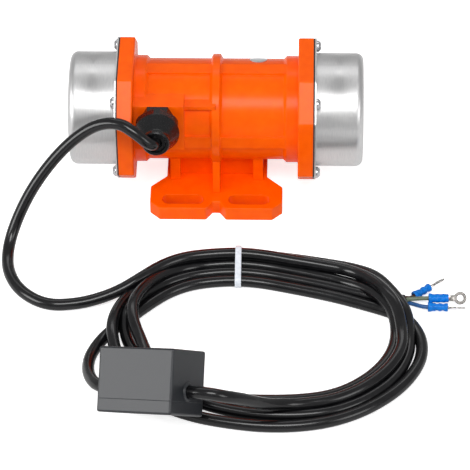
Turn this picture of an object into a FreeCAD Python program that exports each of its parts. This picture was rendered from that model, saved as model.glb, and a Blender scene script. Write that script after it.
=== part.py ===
import FreeCAD
import Part
import Sketcher
import math
import os
import types

from FreeCAD import Rotation, Vector

# Small vibration motor on a slotted foot, with its cord, capacitor box and ring terminals.
# Millimetres. Origin at the centre of the foot's underside, +Z up, +X along the shaft, and -Y on the gland side.

# Driving sizes
SIZES = {
    "axis_height": 56.0,          # shaft axis above the foot's underside
    "casting_length": 134.0,      # housing between its two gasket faces
    "flange_thick": 10.5,
    "flange_margin": 5.25,        # flat of the flange outside the cover's cup
    "flange_corner": 21.0,        # cut corner, measured along a side
    "bore_radius": 31.0,
    "barrel_wall": 4.0,
    "rail_height": 1.5,           # long rails, rings and collars above the barrel
    "rail_width": 10.0,
    "collar_height": 2.0,
    "collar_length": 10.0,
    "ring_height": 3.2,
    "ring_crest": 5.0,
    "ring_root": 8.5,
    "spigot_step": 6.5,           # spigot bore outside the main bore
    "spigot_depth": 6.0,
    "foot_thick": 10.5,
    "foot_width": 92.0,
    "foot_depth": 107.0,
    "foot_back_cut": 11.0,        # cut corner of the foot beside the pedestal
    "foot_front_cut": 7.0,        # cut corner at the foot's free edge
    "foot_neck": 19.5,            # half depth of the foot at the pedestal
    "notch_mouth": 14.0,
    "notch_root": 5.0,
    "notch_depth": 7.0,
    "slot_length": 29.0,
    "slot_width": 9.5,
    "slot_spacing_x": 46.0,
    "slot_spacing_y": 88.0,
    "pedestal_width": 64.8,
    "column_width": 7.0,
    "column_face": 23.5,          # half depth of the pedestal at its end columns
    "web_face": 17.0,             # half depth of the pedestal between the columns
    "gusset_width": 5.0,
    "gusset_top": 30.0,           # half depth of the middle gusset where it leaves the ring
    "gusset_foot": 37.0,          # half depth of the middle gusset on the foot
    "core_width": 22.0,           # cored pocket under the foot, across the shaft
    "core_length": 48.0,
    "core_depth": 15.0,
    "boss_length": 35.0,
    "boss_top": 29.3,             # top of the gland boss above the shaft axis
    "boss_setback": 2.1,          # top front edge of the boss, behind the front of the barrel
    "boss_tilt": 9.0,             # lean of the boss face and the gland, degrees
    "boss_face": 34.7,            # boss face from top edge to bottom edge
    "ledge_top": 27.0,
    "ledge_setback": 5.0,
    "ledge_thick": 3.0,
    "gland_inset": 12.1,          # gland centre below the boss top edge, along the face
    "gland_from_flange": 17.0,    # gland centre from the inner face of the left flange
    "gland_thread_radius": 9.3,
    "gland_thread_length": 6.0,
    "gland_hex": 24.0,
    "gland_hex_thick": 7.0,
    "gland_neck_radius": 10.0,
    "gland_nut_radius": 15.5,
    "gland_nut_flats": 28.6,
    "gland_nut_start": 7.4,
    "gland_nut_grip": 7.0,
    "gland_tip_radius": 9.4,
    "gland_length": 29.0,
    "gland_mouth_radius": 7.0,
    "inner_end_reach": 17.5,      # length of the cord's inner end outside the boss face
    "thread_gap": 0.05,
    "cover_step": 1.75,           # outside of the cover's cup beyond the spigot bore
    "cover_sheet": 1.0,
    "cover_clear": 4.5,           # inside of the cover beyond the shaft end
    "cover_edge": 5.0,
    "gasket_thick": 1.0,
    "gasket_inset": 0.3,
    "screw_clear": 4.75,          # cover screws' centres outside the cover's cup
    "screw_radius": 2.0,
    "screw_head_radius": 4.0,
    "screw_head_height": 3.0,
    "screw_length": 11.0,
    "screw_hole_gap": 0.25,
    "cover_tap_depth": 10.0,
    "shield_tap_depth": 4.0,
    "shield_gap": 0.05,
    "shield_hub_radius": 20.5,
    "shield_hub_wall": 4.0,       # hub inside the bearing
    "shield_lip_radius": 11.0,
    "shield_screw_inset": 3.7,    # shield screws' centres inside the spigot bore
    "shield_screw_radius": 1.5,
    "shield_screw_head": 2.75,
    "shield_screw_head_height": 2.0,
    "shield_screw_length": 9.0,
    "bearing_inset": 14.0,        # bearing's inner face from the casting's end
    "bearing_width": 10.0,
    "bearing_outer": 16.0,
    "bearing_inner": 6.0,
    "bearing_pitch": 11.0,
    "ball_radius": 2.97,
    "ball_count": 7.0,
    "race_gap": 0.06,             # groove radius over ball radius
    "outer_race_wall": 2.4,
    "inner_race_wall": 2.4,
    "cage_width": 7.6,
    "cage_wall": 2.2,
    "seal_thick": 0.5,
    "retainer_thick": 1.2,
    "retainer_width": 2.6,
    "retainer_groove": 1.0,
    "fit_gap": 0.01,
    "stator_length": 50.0,
    "stator_inner": 17.0,
    "stator_slots": 12.0,
    "slot_mouth": 2.4,
    "stator_yoke": 5.0,           # iron behind the stator slots
    "slot_root_width": 7.0,
    "winding_gap": 0.35,
    "winding_inner": 19.0,
    "winding_clear": 2.6,         # end turns inside the bore
    "winding_overhang": 13.0,     # end turns beyond the stack
    "rotor_gap": 0.35,
    "rotor_bars": 16.0,
    "rotor_bar_radius": 1.2,
    "rotor_bar_circle": 14.2,
    "end_ring_length": 6.0,
    "end_ring_inner": 10.0,
    "shaft_middle_radius": 8.5,
    "shaft_shoulder_radius": 7.2,
    "shaft_tail": 3.6,            # shaft beyond its circlip
    "shaft_chamfer": 1.0,
    "weight_clearance": 4.25,     # weights inside the cover's cup
    "weight_hub_radius": 13.0,
    "weight_thick": 10.0,
    "weight_gap": 3.5,            # first weight from the casting's end
    "weight_spacing": 0.6,
    "weight_angle": 170.0,
    "weight_ear_width": 18.0,
    "weight_ear_height": 20.0,
    "weight_split": 2.0,
    "weight_bore_gap": 0.03,
    "clamp_screw_radius": 2.5,
    "clamp_head_radius": 4.25,
    "clamp_head_height": 5.0,
    "clamp_screw_height": 14.6,
    "key_width": 4.0,
    "key_height": 4.0,
    "key_depth": 2.2,
    "circlip_thick": 1.0,
    "circlip_width": 2.6,
    "circlip_depth": 0.6,
    "circlip_gap": 0.3,
    "disc_radius": 6.0,
    "disc_thick": 0.3,
    "disc_place": 28.7,
    "disc_angle": 116.0,
    "cord_radius": 4.1,
    "box_length": 55.0,
    "box_depth": 42.3,
    "box_height": 42.3,
    "box_lid_height": 8.9,
    "box_wall": 2.2,
    "box_round": 1.5,
    "box_port_height": 15.4,
    "box_port_radius": 6.4,
    "grommet_gap": 0.05,
    "grommet_bore_gap": 0.3,
    "grommet_flange": 1.2,
    "capacitor_radius": 13.5,
    "capacitor_end_gap": 4.3,
    "coil_height": 8.4,
    "tie_thick": 1.0,
    "tie_width": 4.2,
    "tie_gap": 0.05,
    "box_seat_gap": 0.3,
    "lead_radius": 1.4,
    "sleeve_radius": 2.8,
    "sleeve_length": 13.5,
    "ring_outer": 4.3,
    "ring_hole": 2.2,
    "ring_sheet": 0.8,
    "ring_barrel_radius": 1.9,
    "ring_barrel_length": 6.0,
}


# A size carries its number and the sheet formula that gives the same number
class Size:
    def __init__(self, number, formula):
        self.number = number
        self.formula = formula

    def __add__(self, other):
        other = as_size(other)
        return Size(self.number + other.number, f"({self.formula} + {other.formula})")

    def __sub__(self, other):
        other = as_size(other)
        return Size(self.number - other.number, f"({self.formula} - {other.formula})")

    def __mul__(self, other):
        other = as_size(other)
        return Size(self.number * other.number, f"({self.formula} * {other.formula})")

    def __truediv__(self, other):
        other = as_size(other)
        return Size(self.number / other.number, f"({self.formula} / {other.formula})")

    def __radd__(self, other):
        return as_size(other) + self

    def __rsub__(self, other):
        return as_size(other) - self

    def __rmul__(self, other):
        return as_size(other) * self

    def __neg__(self):
        return Size(-self.number, f"(0 - {self.formula})")


def as_size(item):
    if isinstance(item, Size):
        return item
    return Size(float(item), repr(float(item)))


doc = FreeCAD.newDocument("VibrationMotor")
sheet = doc.addObject("Spreadsheet::Sheet", "Sizes")
for row, (alias, number) in enumerate(SIZES.items(), start=1):
    sheet.set(f"A{row}", alias)
    sheet.set(f"B{row}", str(number))
    sheet.setAlias(f"B{row}", alias)
doc.recompute()
s = types.SimpleNamespace(**{alias: Size(float(number), f"Sizes.{alias}") for alias, number in SIZES.items()})
SUB_PARTS = []


# Helpers for placing and binding
def bind(obj, path, size):
    obj.setExpression(path, as_size(size).formula)


def place(obj, x=0, y=0, z=0, rotation=None):
    x, y, z = as_size(x), as_size(y), as_size(z)
    obj.Placement = FreeCAD.Placement(Vector(x.number, y.number, z.number), rotation or Rotation())
    bind(obj, "Placement.Base.x", x)
    bind(obj, "Placement.Base.y", y)
    bind(obj, "Placement.Base.z", z)


def keep(obj, label):
    obj.Label = label
    SUB_PARTS.append(obj)
    return obj


ABOUT_Z = Rotation(Vector(0, 0, 1), 180)
ALONG_X = Rotation(Vector(0, 1, 0), 90)


def side_rotation(side):
    return Rotation() if side == "right" else ABOUT_Z


# Helpers for bodies and sketches
def new_body(label, rotation=None, x=0, y=0, z=None):
    body = doc.addObject("PartDesign::Body", label)
    place(body, x, y, s.axis_height if z is None else z, rotation)
    return keep(body, label)


def origin_item(body, role):
    return next(item for item in body.Origin.OriginFeatures if item.Role == role)


def new_sketch(body, name, plane, offset=0):
    sketch = body.newObject("Sketcher::SketchObject", name)
    sketch.AttachmentSupport = [(origin_item(body, plane), "")]
    sketch.MapMode = "FlatFace"
    bind(sketch, "AttachmentOffset.Base.z", offset)
    return sketch


def hold_point(sketch, line, end, across, upward):
    for kind, size in (("DistanceX", as_size(across)), ("DistanceY", as_size(upward))):
        index = sketch.addConstraint(Sketcher.Constraint(kind, -1, 1, line, end, size.number))
        sketch.setExpression(f"Constraints[{index}]", size.formula)


def draw_outline(sketch, corners):
    corners = [(as_size(a), as_size(b)) for a, b in corners]
    first = sketch.GeometryCount
    count = len(corners)
    for i in range(count):
        a, b = corners[i], corners[(i + 1) % count]
        start = Vector(a[0].number, a[1].number, 0)
        end = Vector(b[0].number, b[1].number, 0)
        sketch.addGeometry(Part.LineSegment(start, end), False)
    for i in range(count):
        following = first + (i + 1) % count
        sketch.addConstraint(Sketcher.Constraint("Coincident", first + i, 2, following, 1))
    for i, corner in enumerate(corners):
        hold_point(sketch, first + i, 1, corner[0], corner[1])
    return sketch


def draw_circle(sketch, across, upward, radius):
    across, upward, radius = as_size(across), as_size(upward), as_size(radius)
    centre = Vector(across.number, upward.number, 0)
    circle = sketch.addGeometry(Part.Circle(centre, Vector(0, 0, 1), radius.number), False)
    hold_point(sketch, circle, 3, across, upward)
    index = sketch.addConstraint(Sketcher.Constraint("Radius", circle, radius.number))
    sketch.setExpression(f"Constraints[{index}]", radius.formula)
    return sketch


def draw_slot(sketch, across, upward, length, width):
    """A slot with round ends, lying along the sketch's first axis"""
    across, upward, length, width = as_size(across), as_size(upward), as_size(length), as_size(width)
    half = (length - width) / 2
    left = Vector((across - half).number, upward.number, 0)
    right = Vector((across + half).number, upward.number, 0)
    lift = Vector(0, width.number / 2, 0)
    up = Vector(0, 0, 1)
    quarter = math.pi / 2
    arc_left = sketch.addGeometry(Part.ArcOfCircle(Part.Circle(left, up, lift.y), quarter, 3 * quarter), False)
    arc_right = sketch.addGeometry(Part.ArcOfCircle(Part.Circle(right, up, lift.y), -quarter, quarter), False)
    top = sketch.addGeometry(Part.LineSegment(right + lift, left + lift), False)
    bottom = sketch.addGeometry(Part.LineSegment(left - lift, right - lift), False)
    sketch.addConstraint(Sketcher.Constraint("Tangent", top, 2, arc_left, 1))
    sketch.addConstraint(Sketcher.Constraint("Tangent", arc_left, 2, bottom, 1))
    sketch.addConstraint(Sketcher.Constraint("Tangent", bottom, 2, arc_right, 1))
    sketch.addConstraint(Sketcher.Constraint("Tangent", arc_right, 2, top, 1))
    hold_point(sketch, arc_left, 3, across - half, upward)
    index = sketch.addConstraint(Sketcher.Constraint("DistanceX", -1, 1, arc_right, 3, (across + half).number))
    sketch.setExpression(f"Constraints[{index}]", (across + half).formula)
    index = sketch.addConstraint(Sketcher.Constraint("Radius", arc_left, lift.y))
    sketch.setExpression(f"Constraints[{index}]", (width / 2).formula)
    return sketch


def pad(body, name, sketch, length, reverse=False):
    feature = body.newObject("PartDesign::Pad", name)
    feature.Profile = sketch
    bind(feature, "Length", length)
    feature.Reversed = reverse
    return feature


def pocket(body, name, sketch, length, reverse=False):
    feature = body.newObject("PartDesign::Pocket", name)
    feature.Profile = sketch
    bind(feature, "Length", length)
    feature.Reversed = reverse
    return feature


def spin(body, name, sketch, groove=False):
    """A full turn of the sketch about its own first axis, added or cut"""
    kind = "PartDesign::Groove" if groove else "PartDesign::Revolution"
    feature = body.newObject(kind, name)
    feature.Profile = sketch
    feature.ReferenceAxis = (sketch, ["H_Axis"])
    feature.Angle = 360
    return feature


def polar(body, name, features, count):
    pattern = body.newObject("PartDesign::PolarPattern", name)
    pattern.Originals = features
    pattern.Axis = (origin_item(body, "X_Axis"), [""])
    pattern.Angle = 360
    bind(pattern, "Occurrences", count)
    body.Tip = pattern
    return pattern


def round_edges(body, name, base, radius, test):
    """Fillet of the edges that pass the test, on the shape as built so far"""
    doc.recompute()
    edges = [f"Edge{i}" for i, edge in enumerate(base.Shape.Edges, start=1) if test(edge)]
    feature = body.newObject("PartDesign::Fillet", name)
    feature.Base = (base, edges)
    bind(feature, "Radius", radius)
    body.Tip = feature
    return feature


# Helpers for primitives and booleans
def cylinder_along_x(name, radius, start, length):
    part = doc.addObject("Part::Cylinder", name)
    bind(part, "Radius", radius)
    bind(part, "Height", length)
    place(part, start, 0, 0, ALONG_X)
    return part


def box_at(name, x, y, z, length, width, height):
    part = doc.addObject("Part::Box", name)
    bind(part, "Length", length)
    bind(part, "Width", width)
    bind(part, "Height", height)
    place(part, x, y, z)
    return part


def cut(name, base, tool):
    part = doc.addObject("Part::Cut", name)
    part.Base = base
    part.Tool = tool
    return part


def fuse(name, parts):
    part = doc.addObject("Part::MultiFuse", name)
    part.Shapes = parts
    return part


def on_axis(part, label, side="right"):
    """A finished piece on the shaft axis, turned about for the left end"""
    place(part, 0, 0, s.axis_height, side_rotation(side))
    return keep(part, label)


def solid_group(label, shapes):
    """One node of separate solids, placed by the sheet's own numbers"""
    feature = doc.addObject("Part::Feature", label)
    feature.Shape = Part.makeCompound(shapes)
    return keep(feature, label)


# Places and sizes that follow from the driving ones, from the middle of the motor and from the shaft axis
HALF_RIGHT = Size(math.sqrt(0.5), "sqrt(0.5)")
TILT = math.radians(SIZES["boss_tilt"])
tilt_sine = Size(math.sin(TILT), "sin(Sizes.boss_tilt)")
tilt_cosine = Size(math.cos(TILT), "cos(Sizes.boss_tilt)")
half_casting = s.casting_length / 2
flange_inner = half_casting - s.flange_thick
barrel_radius = s.bore_radius + s.barrel_wall
rail_face = barrel_radius + s.rail_height
collar_radius = barrel_radius + s.collar_height
ring_radius = barrel_radius + s.ring_height
spigot_radius = s.bore_radius + s.spigot_step
cover_radius = spigot_radius + s.cover_step
flange_half = cover_radius + s.flange_margin
cover_screw_place = cover_radius + s.screw_clear
shield_screw_place = spigot_radius - s.shield_screw_inset
boss_front = barrel_radius - s.boss_setback
ledge_front = barrel_radius - s.ledge_setback
gland_offset = flange_inner - s.gland_from_flange
gland_front = boss_front + s.gland_inset * tilt_sine
gland_height = s.boss_top - s.gland_inset * tilt_cosine
bearing_start = half_casting - s.bearing_inset
bearing_end = bearing_start + s.bearing_width
bearing_middle = bearing_start + s.bearing_width / 2
shield_hub_end = bearing_start - s.shield_hub_wall
slot_root_radius = s.bore_radius - s.stator_yoke
winding_outer = s.bore_radius - s.winding_clear
winding_reach = s.stator_length / 2 + s.winding_overhang
weight_start = half_casting + s.weight_gap
outer_weight_start = weight_start + s.weight_thick + s.weight_spacing
clip_start = outer_weight_start + s.weight_thick + s.circlip_gap
shaft_end = clip_start + s.circlip_thick + s.shaft_tail
cover_end = shaft_end + s.cover_clear + s.cover_sheet
weight_radius = cover_radius - s.cover_sheet - s.weight_clearance
foot_top = s.foot_thick - s.axis_height


# The cut-cornered square that the flanges, gaskets and covers share
def flange_outline(sketch, inset=0):
    half = flange_half - inset
    inner = flange_half - s.flange_corner
    return draw_outline(sketch, [
        (half, -inner), (half, inner), (inner, half), (-inner, half),
        (-half, inner), (-half, -inner), (-inner, -half), (inner, -half),
    ])


# The cored pocket that goes up through the foot into the pedestal
def core_pocket(body):
    core = draw_outline(new_sketch(body, "core_line", "XY_Plane", -s.axis_height - 1), [
        (-s.core_length / 2, -s.core_width / 2), (s.core_length / 2, -s.core_width / 2),
        (s.core_length / 2, s.core_width / 2), (-s.core_length / 2, s.core_width / 2),
    ])
    return pocket(body, "core", core, s.core_depth + 1, reverse=True)


# Housing casting down to the top of its foot plate
def make_housing():
    body = new_body("housing")
    root = s.ring_root / 2
    crest = s.ring_crest / 2
    collar = flange_inner - s.collar_length
    ramp = collar_radius - barrel_radius
    barrel = draw_outline(new_sketch(body, "barrel_line", "XZ_Plane"), [
        (-half_casting, 0), (half_casting, 0), (half_casting, collar_radius), (collar + ramp, collar_radius),
        (collar, barrel_radius), (root, barrel_radius), (crest, ring_radius), (-crest, ring_radius),
        (-root, barrel_radius), (-collar, barrel_radius), (-collar - ramp, collar_radius),
        (-half_casting, collar_radius),
    ])
    spin(body, "barrel", barrel)
    for name, start in (("flange_right", flange_inner), ("flange_left", -half_casting)):
        pad(body, name, flange_outline(new_sketch(body, name + "_line", "YZ_Plane", start)), s.flange_thick)

    # Four long rails, then the gland boss and its ledge
    rail = s.rail_width / 2
    rails = draw_outline(new_sketch(body, "rail_line", "YZ_Plane", -half_casting + 1), [
        (-rail_face, -rail), (rail_face, -rail), (rail_face, rail), (-rail_face, rail),
    ])
    pad(body, "rails_level", rails, s.casting_length - 2)
    uprights = draw_outline(new_sketch(body, "upright_line", "YZ_Plane", -half_casting + 1), [
        (-rail, -rail_face), (rail, -rail_face), (rail, rail_face), (-rail, rail_face),
    ])
    pad(body, "rails_upright", uprights, s.casting_length - 2)
    lean_out = s.boss_face * tilt_sine
    drop = s.boss_face * tilt_cosine
    boss = draw_outline(new_sketch(body, "boss_line", "YZ_Plane", -flange_inner - 1), [
        (-s.rail_width, s.boss_top), (-boss_front, s.boss_top),
        (-boss_front - lean_out, s.boss_top - drop), (-s.rail_width, s.boss_top - drop),
    ])
    pad(body, "boss", boss, s.boss_length + 1)
    ledge = draw_outline(new_sketch(body, "ledge_line", "YZ_Plane", -flange_inner), [
        (-s.rail_width, s.ledge_top), (-ledge_front, s.ledge_top),
        (-ledge_front, s.ledge_top - s.ledge_thick), (-s.rail_width, s.ledge_top - s.ledge_thick),
    ])
    pad(body, "ledge", ledge, flange_inner)

    # Pedestal on the foot plate: two end columns, a thinner web and the middle gusset
    stand = s.pedestal_width / 2
    rise = -foot_top - barrel_radius / 2
    web = draw_outline(new_sketch(body, "web_line", "XY_Plane", foot_top), [
        (-stand + 1, -s.web_face), (stand - 1, -s.web_face), (stand - 1, s.web_face), (-stand + 1, s.web_face),
    ])
    pad(body, "web", web, rise)
    inner_face = stand - s.column_width
    for name, near, far in (("column_right", inner_face, stand), ("column_left", -stand, -inner_face)):
        column = draw_outline(new_sketch(body, name + "_line", "XY_Plane", foot_top), [
            (near, -s.column_face), (far, -s.column_face), (far, s.column_face), (near, s.column_face),
        ])
        pad(body, name, column, rise)
    gusset = draw_outline(new_sketch(body, "gusset_line", "YZ_Plane", -s.gusset_width / 2), [
        (-s.gusset_foot, foot_top), (s.gusset_foot, foot_top),
        (s.gusset_top, -barrel_radius / 2), (-s.gusset_top, -barrel_radius / 2),
    ])
    gusset_pad = pad(body, "gusset", gusset, s.gusset_width)

    # Soft cast edges, made before the machined cuts
    flange_face = SIZES["casting_length"] / 2
    flange_back = flange_face - SIZES["flange_thick"]
    rim_radius = flange_half.number - SIZES["flange_corner"] / 2

    def is_flange_rim(edge):
        box = edge.BoundBox
        centre = box.Center
        far = math.hypot(centre.y, centre.z) > rim_radius
        on_back = abs(abs(centre.x) - flange_back) < 0.01 and box.XLength < 0.01
        return far and on_back and edge.Length > 10

    rim = round_edges(body, "flange_rim", gusset_pad, 1.2, is_flange_rim)

    def is_flange_corner(edge):
        box = edge.BoundBox
        along = box.YLength < 0.01 and box.ZLength < 0.01 and box.XLength > SIZES["flange_thick"] - 2
        far = math.hypot(box.Center.y, box.Center.z) > rim_radius
        return along and far and abs(abs(box.Center.x) - flange_face + SIZES["flange_thick"] / 2) < 2

    rim = round_edges(body, "flange_corners", rim, 2.0, is_flange_corner)

    # Bore, spigots, and the gland thread square to the boss face
    bore = draw_circle(new_sketch(body, "bore_line", "YZ_Plane", -half_casting - 1), 0, 0, s.bore_radius)
    pocket(body, "bore", bore, s.casting_length + 2, reverse=True)
    for name, start in (("spigot_right", half_casting - s.spigot_depth), ("spigot_left", -half_casting - 1)):
        spigot = draw_circle(new_sketch(body, name + "_line", "YZ_Plane", start), 0, 0, spigot_radius)
        pocket(body, name, spigot, s.spigot_depth + 1, reverse=True)
    core_pocket(body)
    foot_space = draw_outline(new_sketch(body, "foot_space_line", "XY_Plane", -s.axis_height - 1), [
        (-s.foot_width / 2, -s.foot_depth / 2), (s.foot_width / 2, -s.foot_depth / 2),
        (s.foot_width / 2, s.foot_depth / 2), (-s.foot_width / 2, s.foot_depth / 2),
    ])
    pocket(body, "foot_space", foot_space, s.foot_thick + 1, reverse=True)

    thread = body.newObject("Sketcher::SketchObject", "gland_thread_line")
    thread.AttachmentSupport = [(origin_item(body, "XZ_Plane"), "")]
    thread.MapMode = "FlatFace"
    lean = Rotation(Vector(-1, 0, 0), SIZES["boss_tilt"])
    thread.AttachmentOffset = FreeCAD.Placement(Vector(0, 0, 1), lean)
    bind(thread, "AttachmentOffset.Base.x", -gland_offset)
    bind(thread, "AttachmentOffset.Base.y", gland_height)
    bind(thread, "AttachmentOffset.Base.z", gland_front)
    draw_circle(thread, 0, 0, s.gland_thread_radius)
    pocket(body, "gland_thread", thread, boss_front - s.bore_radius / 2)
    cover_tap = cover_screw_place * HALF_RIGHT
    shield_tap = shield_screw_place
    for name, start in (("right", half_casting - s.cover_tap_depth), ("left", -half_casting - 1)):
        taps = new_sketch(body, f"cover_taps_{name}_line", "YZ_Plane", start)
        for across in (-cover_tap, cover_tap):
            for upward in (-cover_tap, cover_tap):
                draw_circle(taps, across, upward, s.screw_radius)
        pocket(body, f"cover_taps_{name}", taps, s.cover_tap_depth + 1, reverse=True)
    inner_face = half_casting - s.spigot_depth
    for name, start in (("right", inner_face - s.shield_tap_depth), ("left", -inner_face - 1)):
        taps = new_sketch(body, f"shield_taps_{name}_line", "YZ_Plane", start)
        for across, upward in ((shield_tap, 0), (-shield_tap, 0), (0, shield_tap), (0, -shield_tap)):
            draw_circle(taps, across, upward, s.shield_screw_radius)
        pocket(body, f"shield_taps_{name}", taps, s.shield_tap_depth + 1, reverse=True)


# Foot plate of the casting, with cut corners, a notch in each free edge and four slots
def make_foot():
    body = new_body("foot")
    wide = s.foot_width / 2
    deep = s.foot_depth / 2
    neck = wide - s.foot_back_cut
    mouth = s.notch_mouth / 2
    quarter = [
        (neck, s.foot_neck), (wide, s.foot_neck + s.foot_back_cut), (wide, deep - s.foot_front_cut),
        (wide - s.foot_front_cut, deep), (mouth, deep), (s.notch_root / 2, deep - s.notch_depth),
    ]
    front_right = [(a, -b) for a, b in quarter]
    front_left = [(-a, -b) for a, b in reversed(quarter)]
    back_left = [(-a, b) for a, b in quarter]
    back_right = list(reversed(quarter))
    plate_line = draw_outline(
        new_sketch(body, "foot_line", "XY_Plane", -s.axis_height),
        front_right + front_left + back_left + back_right,
    )
    plate = pad(body, "plate", plate_line, s.foot_thick)
    top = foot_top.number

    def is_foot_corner(edge):
        box = edge.BoundBox
        return box.XLength < 0.01 and box.YLength < 0.01

    corners = round_edges(body, "foot_corners", plate, 1.6, is_foot_corner)

    def is_foot_rim(edge):
        box = edge.BoundBox
        near = min(abs(box.YMin), abs(box.YMax))
        far = max(abs(box.YMin), abs(box.YMax))
        outside = near > SIZES["column_face"] + 1 and far > SIZES["gusset_foot"] + 1
        return abs(box.ZMin - top) < 0.01 and abs(box.ZMax - top) < 0.01 and outside

    round_edges(body, "foot_rim", corners, 0.9, is_foot_rim)
    slots = new_sketch(body, "slot_line", "XY_Plane", -s.axis_height - 1)
    for across in (-s.slot_spacing_x / 2, s.slot_spacing_x / 2):
        for upward in (-s.slot_spacing_y / 2, s.slot_spacing_y / 2):
            draw_slot(slots, across, upward, s.slot_length, s.slot_width)
    pocket(body, "slots", slots, s.foot_thick + 2, reverse=True)
    body.Tip = core_pocket(body)


make_housing()
make_foot()


# Covers and gaskets
def cover_holes(body, name, start, length):
    across = cover_screw_place * HALF_RIGHT
    holes = new_sketch(body, name + "_line", "YZ_Plane", start)
    for side in (-across, across):
        for upward in (-across, across):
            draw_circle(holes, side, upward, s.screw_radius + s.screw_hole_gap)
    pocket(body, name, holes, length, reverse=True)


def make_gasket(side):
    body = new_body(f"{side}_gasket", side_rotation(side))
    sheet_line = flange_outline(new_sketch(body, "outline", "YZ_Plane", half_casting), s.gasket_inset)
    pad(body, "plate", sheet_line, s.gasket_thick)
    opening = new_sketch(body, "opening_line", "YZ_Plane", half_casting - 1)
    draw_circle(opening, 0, 0, cover_radius - s.cover_sheet)
    pocket(body, "opening", opening, s.gasket_thick + 2, reverse=True)
    cover_holes(body, "holes", half_casting - 1, s.gasket_thick + 2)


def make_cover(side):
    body = new_body(f"{side}_end_cover", side_rotation(side))
    seat = half_casting + s.gasket_thick
    end = cover_end
    plate = pad(body, "plate", flange_outline(new_sketch(body, "outline", "YZ_Plane", seat)), s.cover_sheet)

    def is_plate_corner(edge):
        box = edge.BoundBox
        return box.YLength < 0.01 and box.ZLength < 0.01

    round_edges(body, "plate_corners", plate, 2.0, is_plate_corner)
    cup_line = draw_outline(new_sketch(body, "cup_line", "XZ_Plane"), [
        (seat, 0), (seat, cover_radius), (end, cover_radius), (end, 0),
    ])
    cup = spin(body, "cup", cup_line)
    end_face = end.number

    def is_outer_edge(edge):
        return edge.Closed and abs(edge.BoundBox.Center.x - end_face) < 0.01

    round_edges(body, "cup_edge", cup, s.cover_edge, is_outer_edge)
    inner = cover_radius - s.cover_sheet
    corner = s.cover_edge - s.cover_sheet
    bend = [
        (end - s.cover_edge + corner * Size(math.cos(math.radians(turn)), f"cos({turn})"),
         cover_radius - s.cover_edge + corner * Size(math.sin(math.radians(turn)), f"sin({turn})"))
        for turn in (90, 67.5, 45, 22.5, 0)
    ]
    hollow_line = draw_outline(new_sketch(body, "hollow_line", "XZ_Plane"), [
        (seat - 1, 0), (seat - 1, inner), *bend, (end - s.cover_sheet, 0),
    ])
    spin(body, "hollow", hollow_line, groove=True)
    cover_holes(body, "holes", seat - 1, s.cover_sheet + 2)


# Screws: a domed head and a plain shank, turned about the piece's own first axis
def screw_shape(shank, length, head, height):
    """A screw whose head seats at the origin and whose shank runs to -X"""
    rim = height * 0.45
    crown = Part.makeCone(head, head * 0.62, height - rim, Vector(rim, 0, 0), Vector(1, 0, 0))
    body = Part.makeCylinder(shank, length, Vector(-length, 0, 0), Vector(1, 0, 0))
    body = body.fuse(Part.makeCylinder(head, rim, Vector(0, 0, 0), Vector(1, 0, 0))).fuse(crown)
    arm = head * 1.1
    blade = head * 0.24
    depth = height * 0.6
    for size in ((arm, blade), (blade, arm)):
        slot = Part.makeBox(depth + 1, size[0], size[1], Vector(height - depth, -size[0] / 2, -size[1] / 2))
        body = body.cut(slot)
    return body.removeSplitter()


def ring_of_screws(screw, seat, radius, start_angle):
    """Four screws at each end of the motor, heads outwards"""
    shapes = []
    for turn in (Rotation(), ABOUT_Z):
        for i in range(4):
            angle = math.radians(start_angle + 90 * i)
            spot = Vector(seat, radius * math.cos(angle), radius * math.sin(angle))
            placed = screw.copy()
            placed.Placement = FreeCAD.Placement(Vector(0, 0, SIZES["axis_height"]) + turn.multVec(spot), turn)
            shapes.append(placed)
    return shapes


def make_screws():
    gap = SIZES["thread_gap"]
    cover_screw = screw_shape(SIZES["screw_radius"] - gap, SIZES["screw_length"],
                              SIZES["screw_head_radius"], SIZES["screw_head_height"])
    seat = SIZES["casting_length"] / 2 + SIZES["gasket_thick"] + SIZES["cover_sheet"]
    solid_group("cover_screws", ring_of_screws(cover_screw, seat, cover_screw_place.number, 45))
    shield_screw = screw_shape(SIZES["shield_screw_radius"] - gap, SIZES["shield_screw_length"],
                               SIZES["shield_screw_head"], SIZES["shield_screw_head_height"])
    solid_group("shield_screws", ring_of_screws(
        shield_screw, half_casting.number, shield_screw_place.number, 0))


# Bearing shield with its hub, bearing seat and retainer groove
def make_shield(side):
    body = new_body(f"{side}_bearing_shield", side_rotation(side))
    shoulder = half_casting - s.spigot_depth
    collar = s.bore_radius - s.shield_gap
    seat = s.bearing_outer
    groove_end = bearing_end + s.retainer_thick + 0.1
    profile = draw_outline(new_sketch(body, "profile", "XZ_Plane"), [
        (shield_hub_end, s.shield_lip_radius), (shield_hub_end, s.shield_hub_radius),
        (shoulder - 2.5, s.shield_hub_radius), (shoulder - 2.5, collar - 4), (shoulder - 4.5, collar - 3),
        (shoulder - 4.5, collar), (shoulder, collar), (shoulder, spigot_radius - s.shield_gap),
        (half_casting, spigot_radius - s.shield_gap), (half_casting, seat), (groove_end, seat),
        (groove_end, seat + s.retainer_groove), (bearing_end, seat + s.retainer_groove), (bearing_end, seat),
        (bearing_start, seat), (bearing_start, s.shield_lip_radius),
    ])
    spin(body, "plate", profile)
    rib = draw_outline(new_sketch(body, "rib_line", "XZ_Plane", -1.2), [
        (shield_hub_end + 1, s.shield_hub_radius - 1), (shoulder - 2, s.shield_hub_radius - 1),
        (shoulder - 2, collar - 2), (shoulder - 4.5, collar - 2),
    ])
    rib_pad = pad(body, "rib", rib, 2.4)
    polar(body, "ribs", [rib_pad], 6)
    holes = new_sketch(body, "screw_line", "YZ_Plane", shoulder - 5)
    circle = shield_screw_place
    for across, upward in ((circle, 0), (-circle, 0), (0, circle), (0, -circle)):
        draw_circle(holes, across, upward, s.shield_screw_radius + s.screw_hole_gap / 2)
    body.Tip = pocket(body, "screw_holes", holes, s.spigot_depth + 6, reverse=True)


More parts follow.
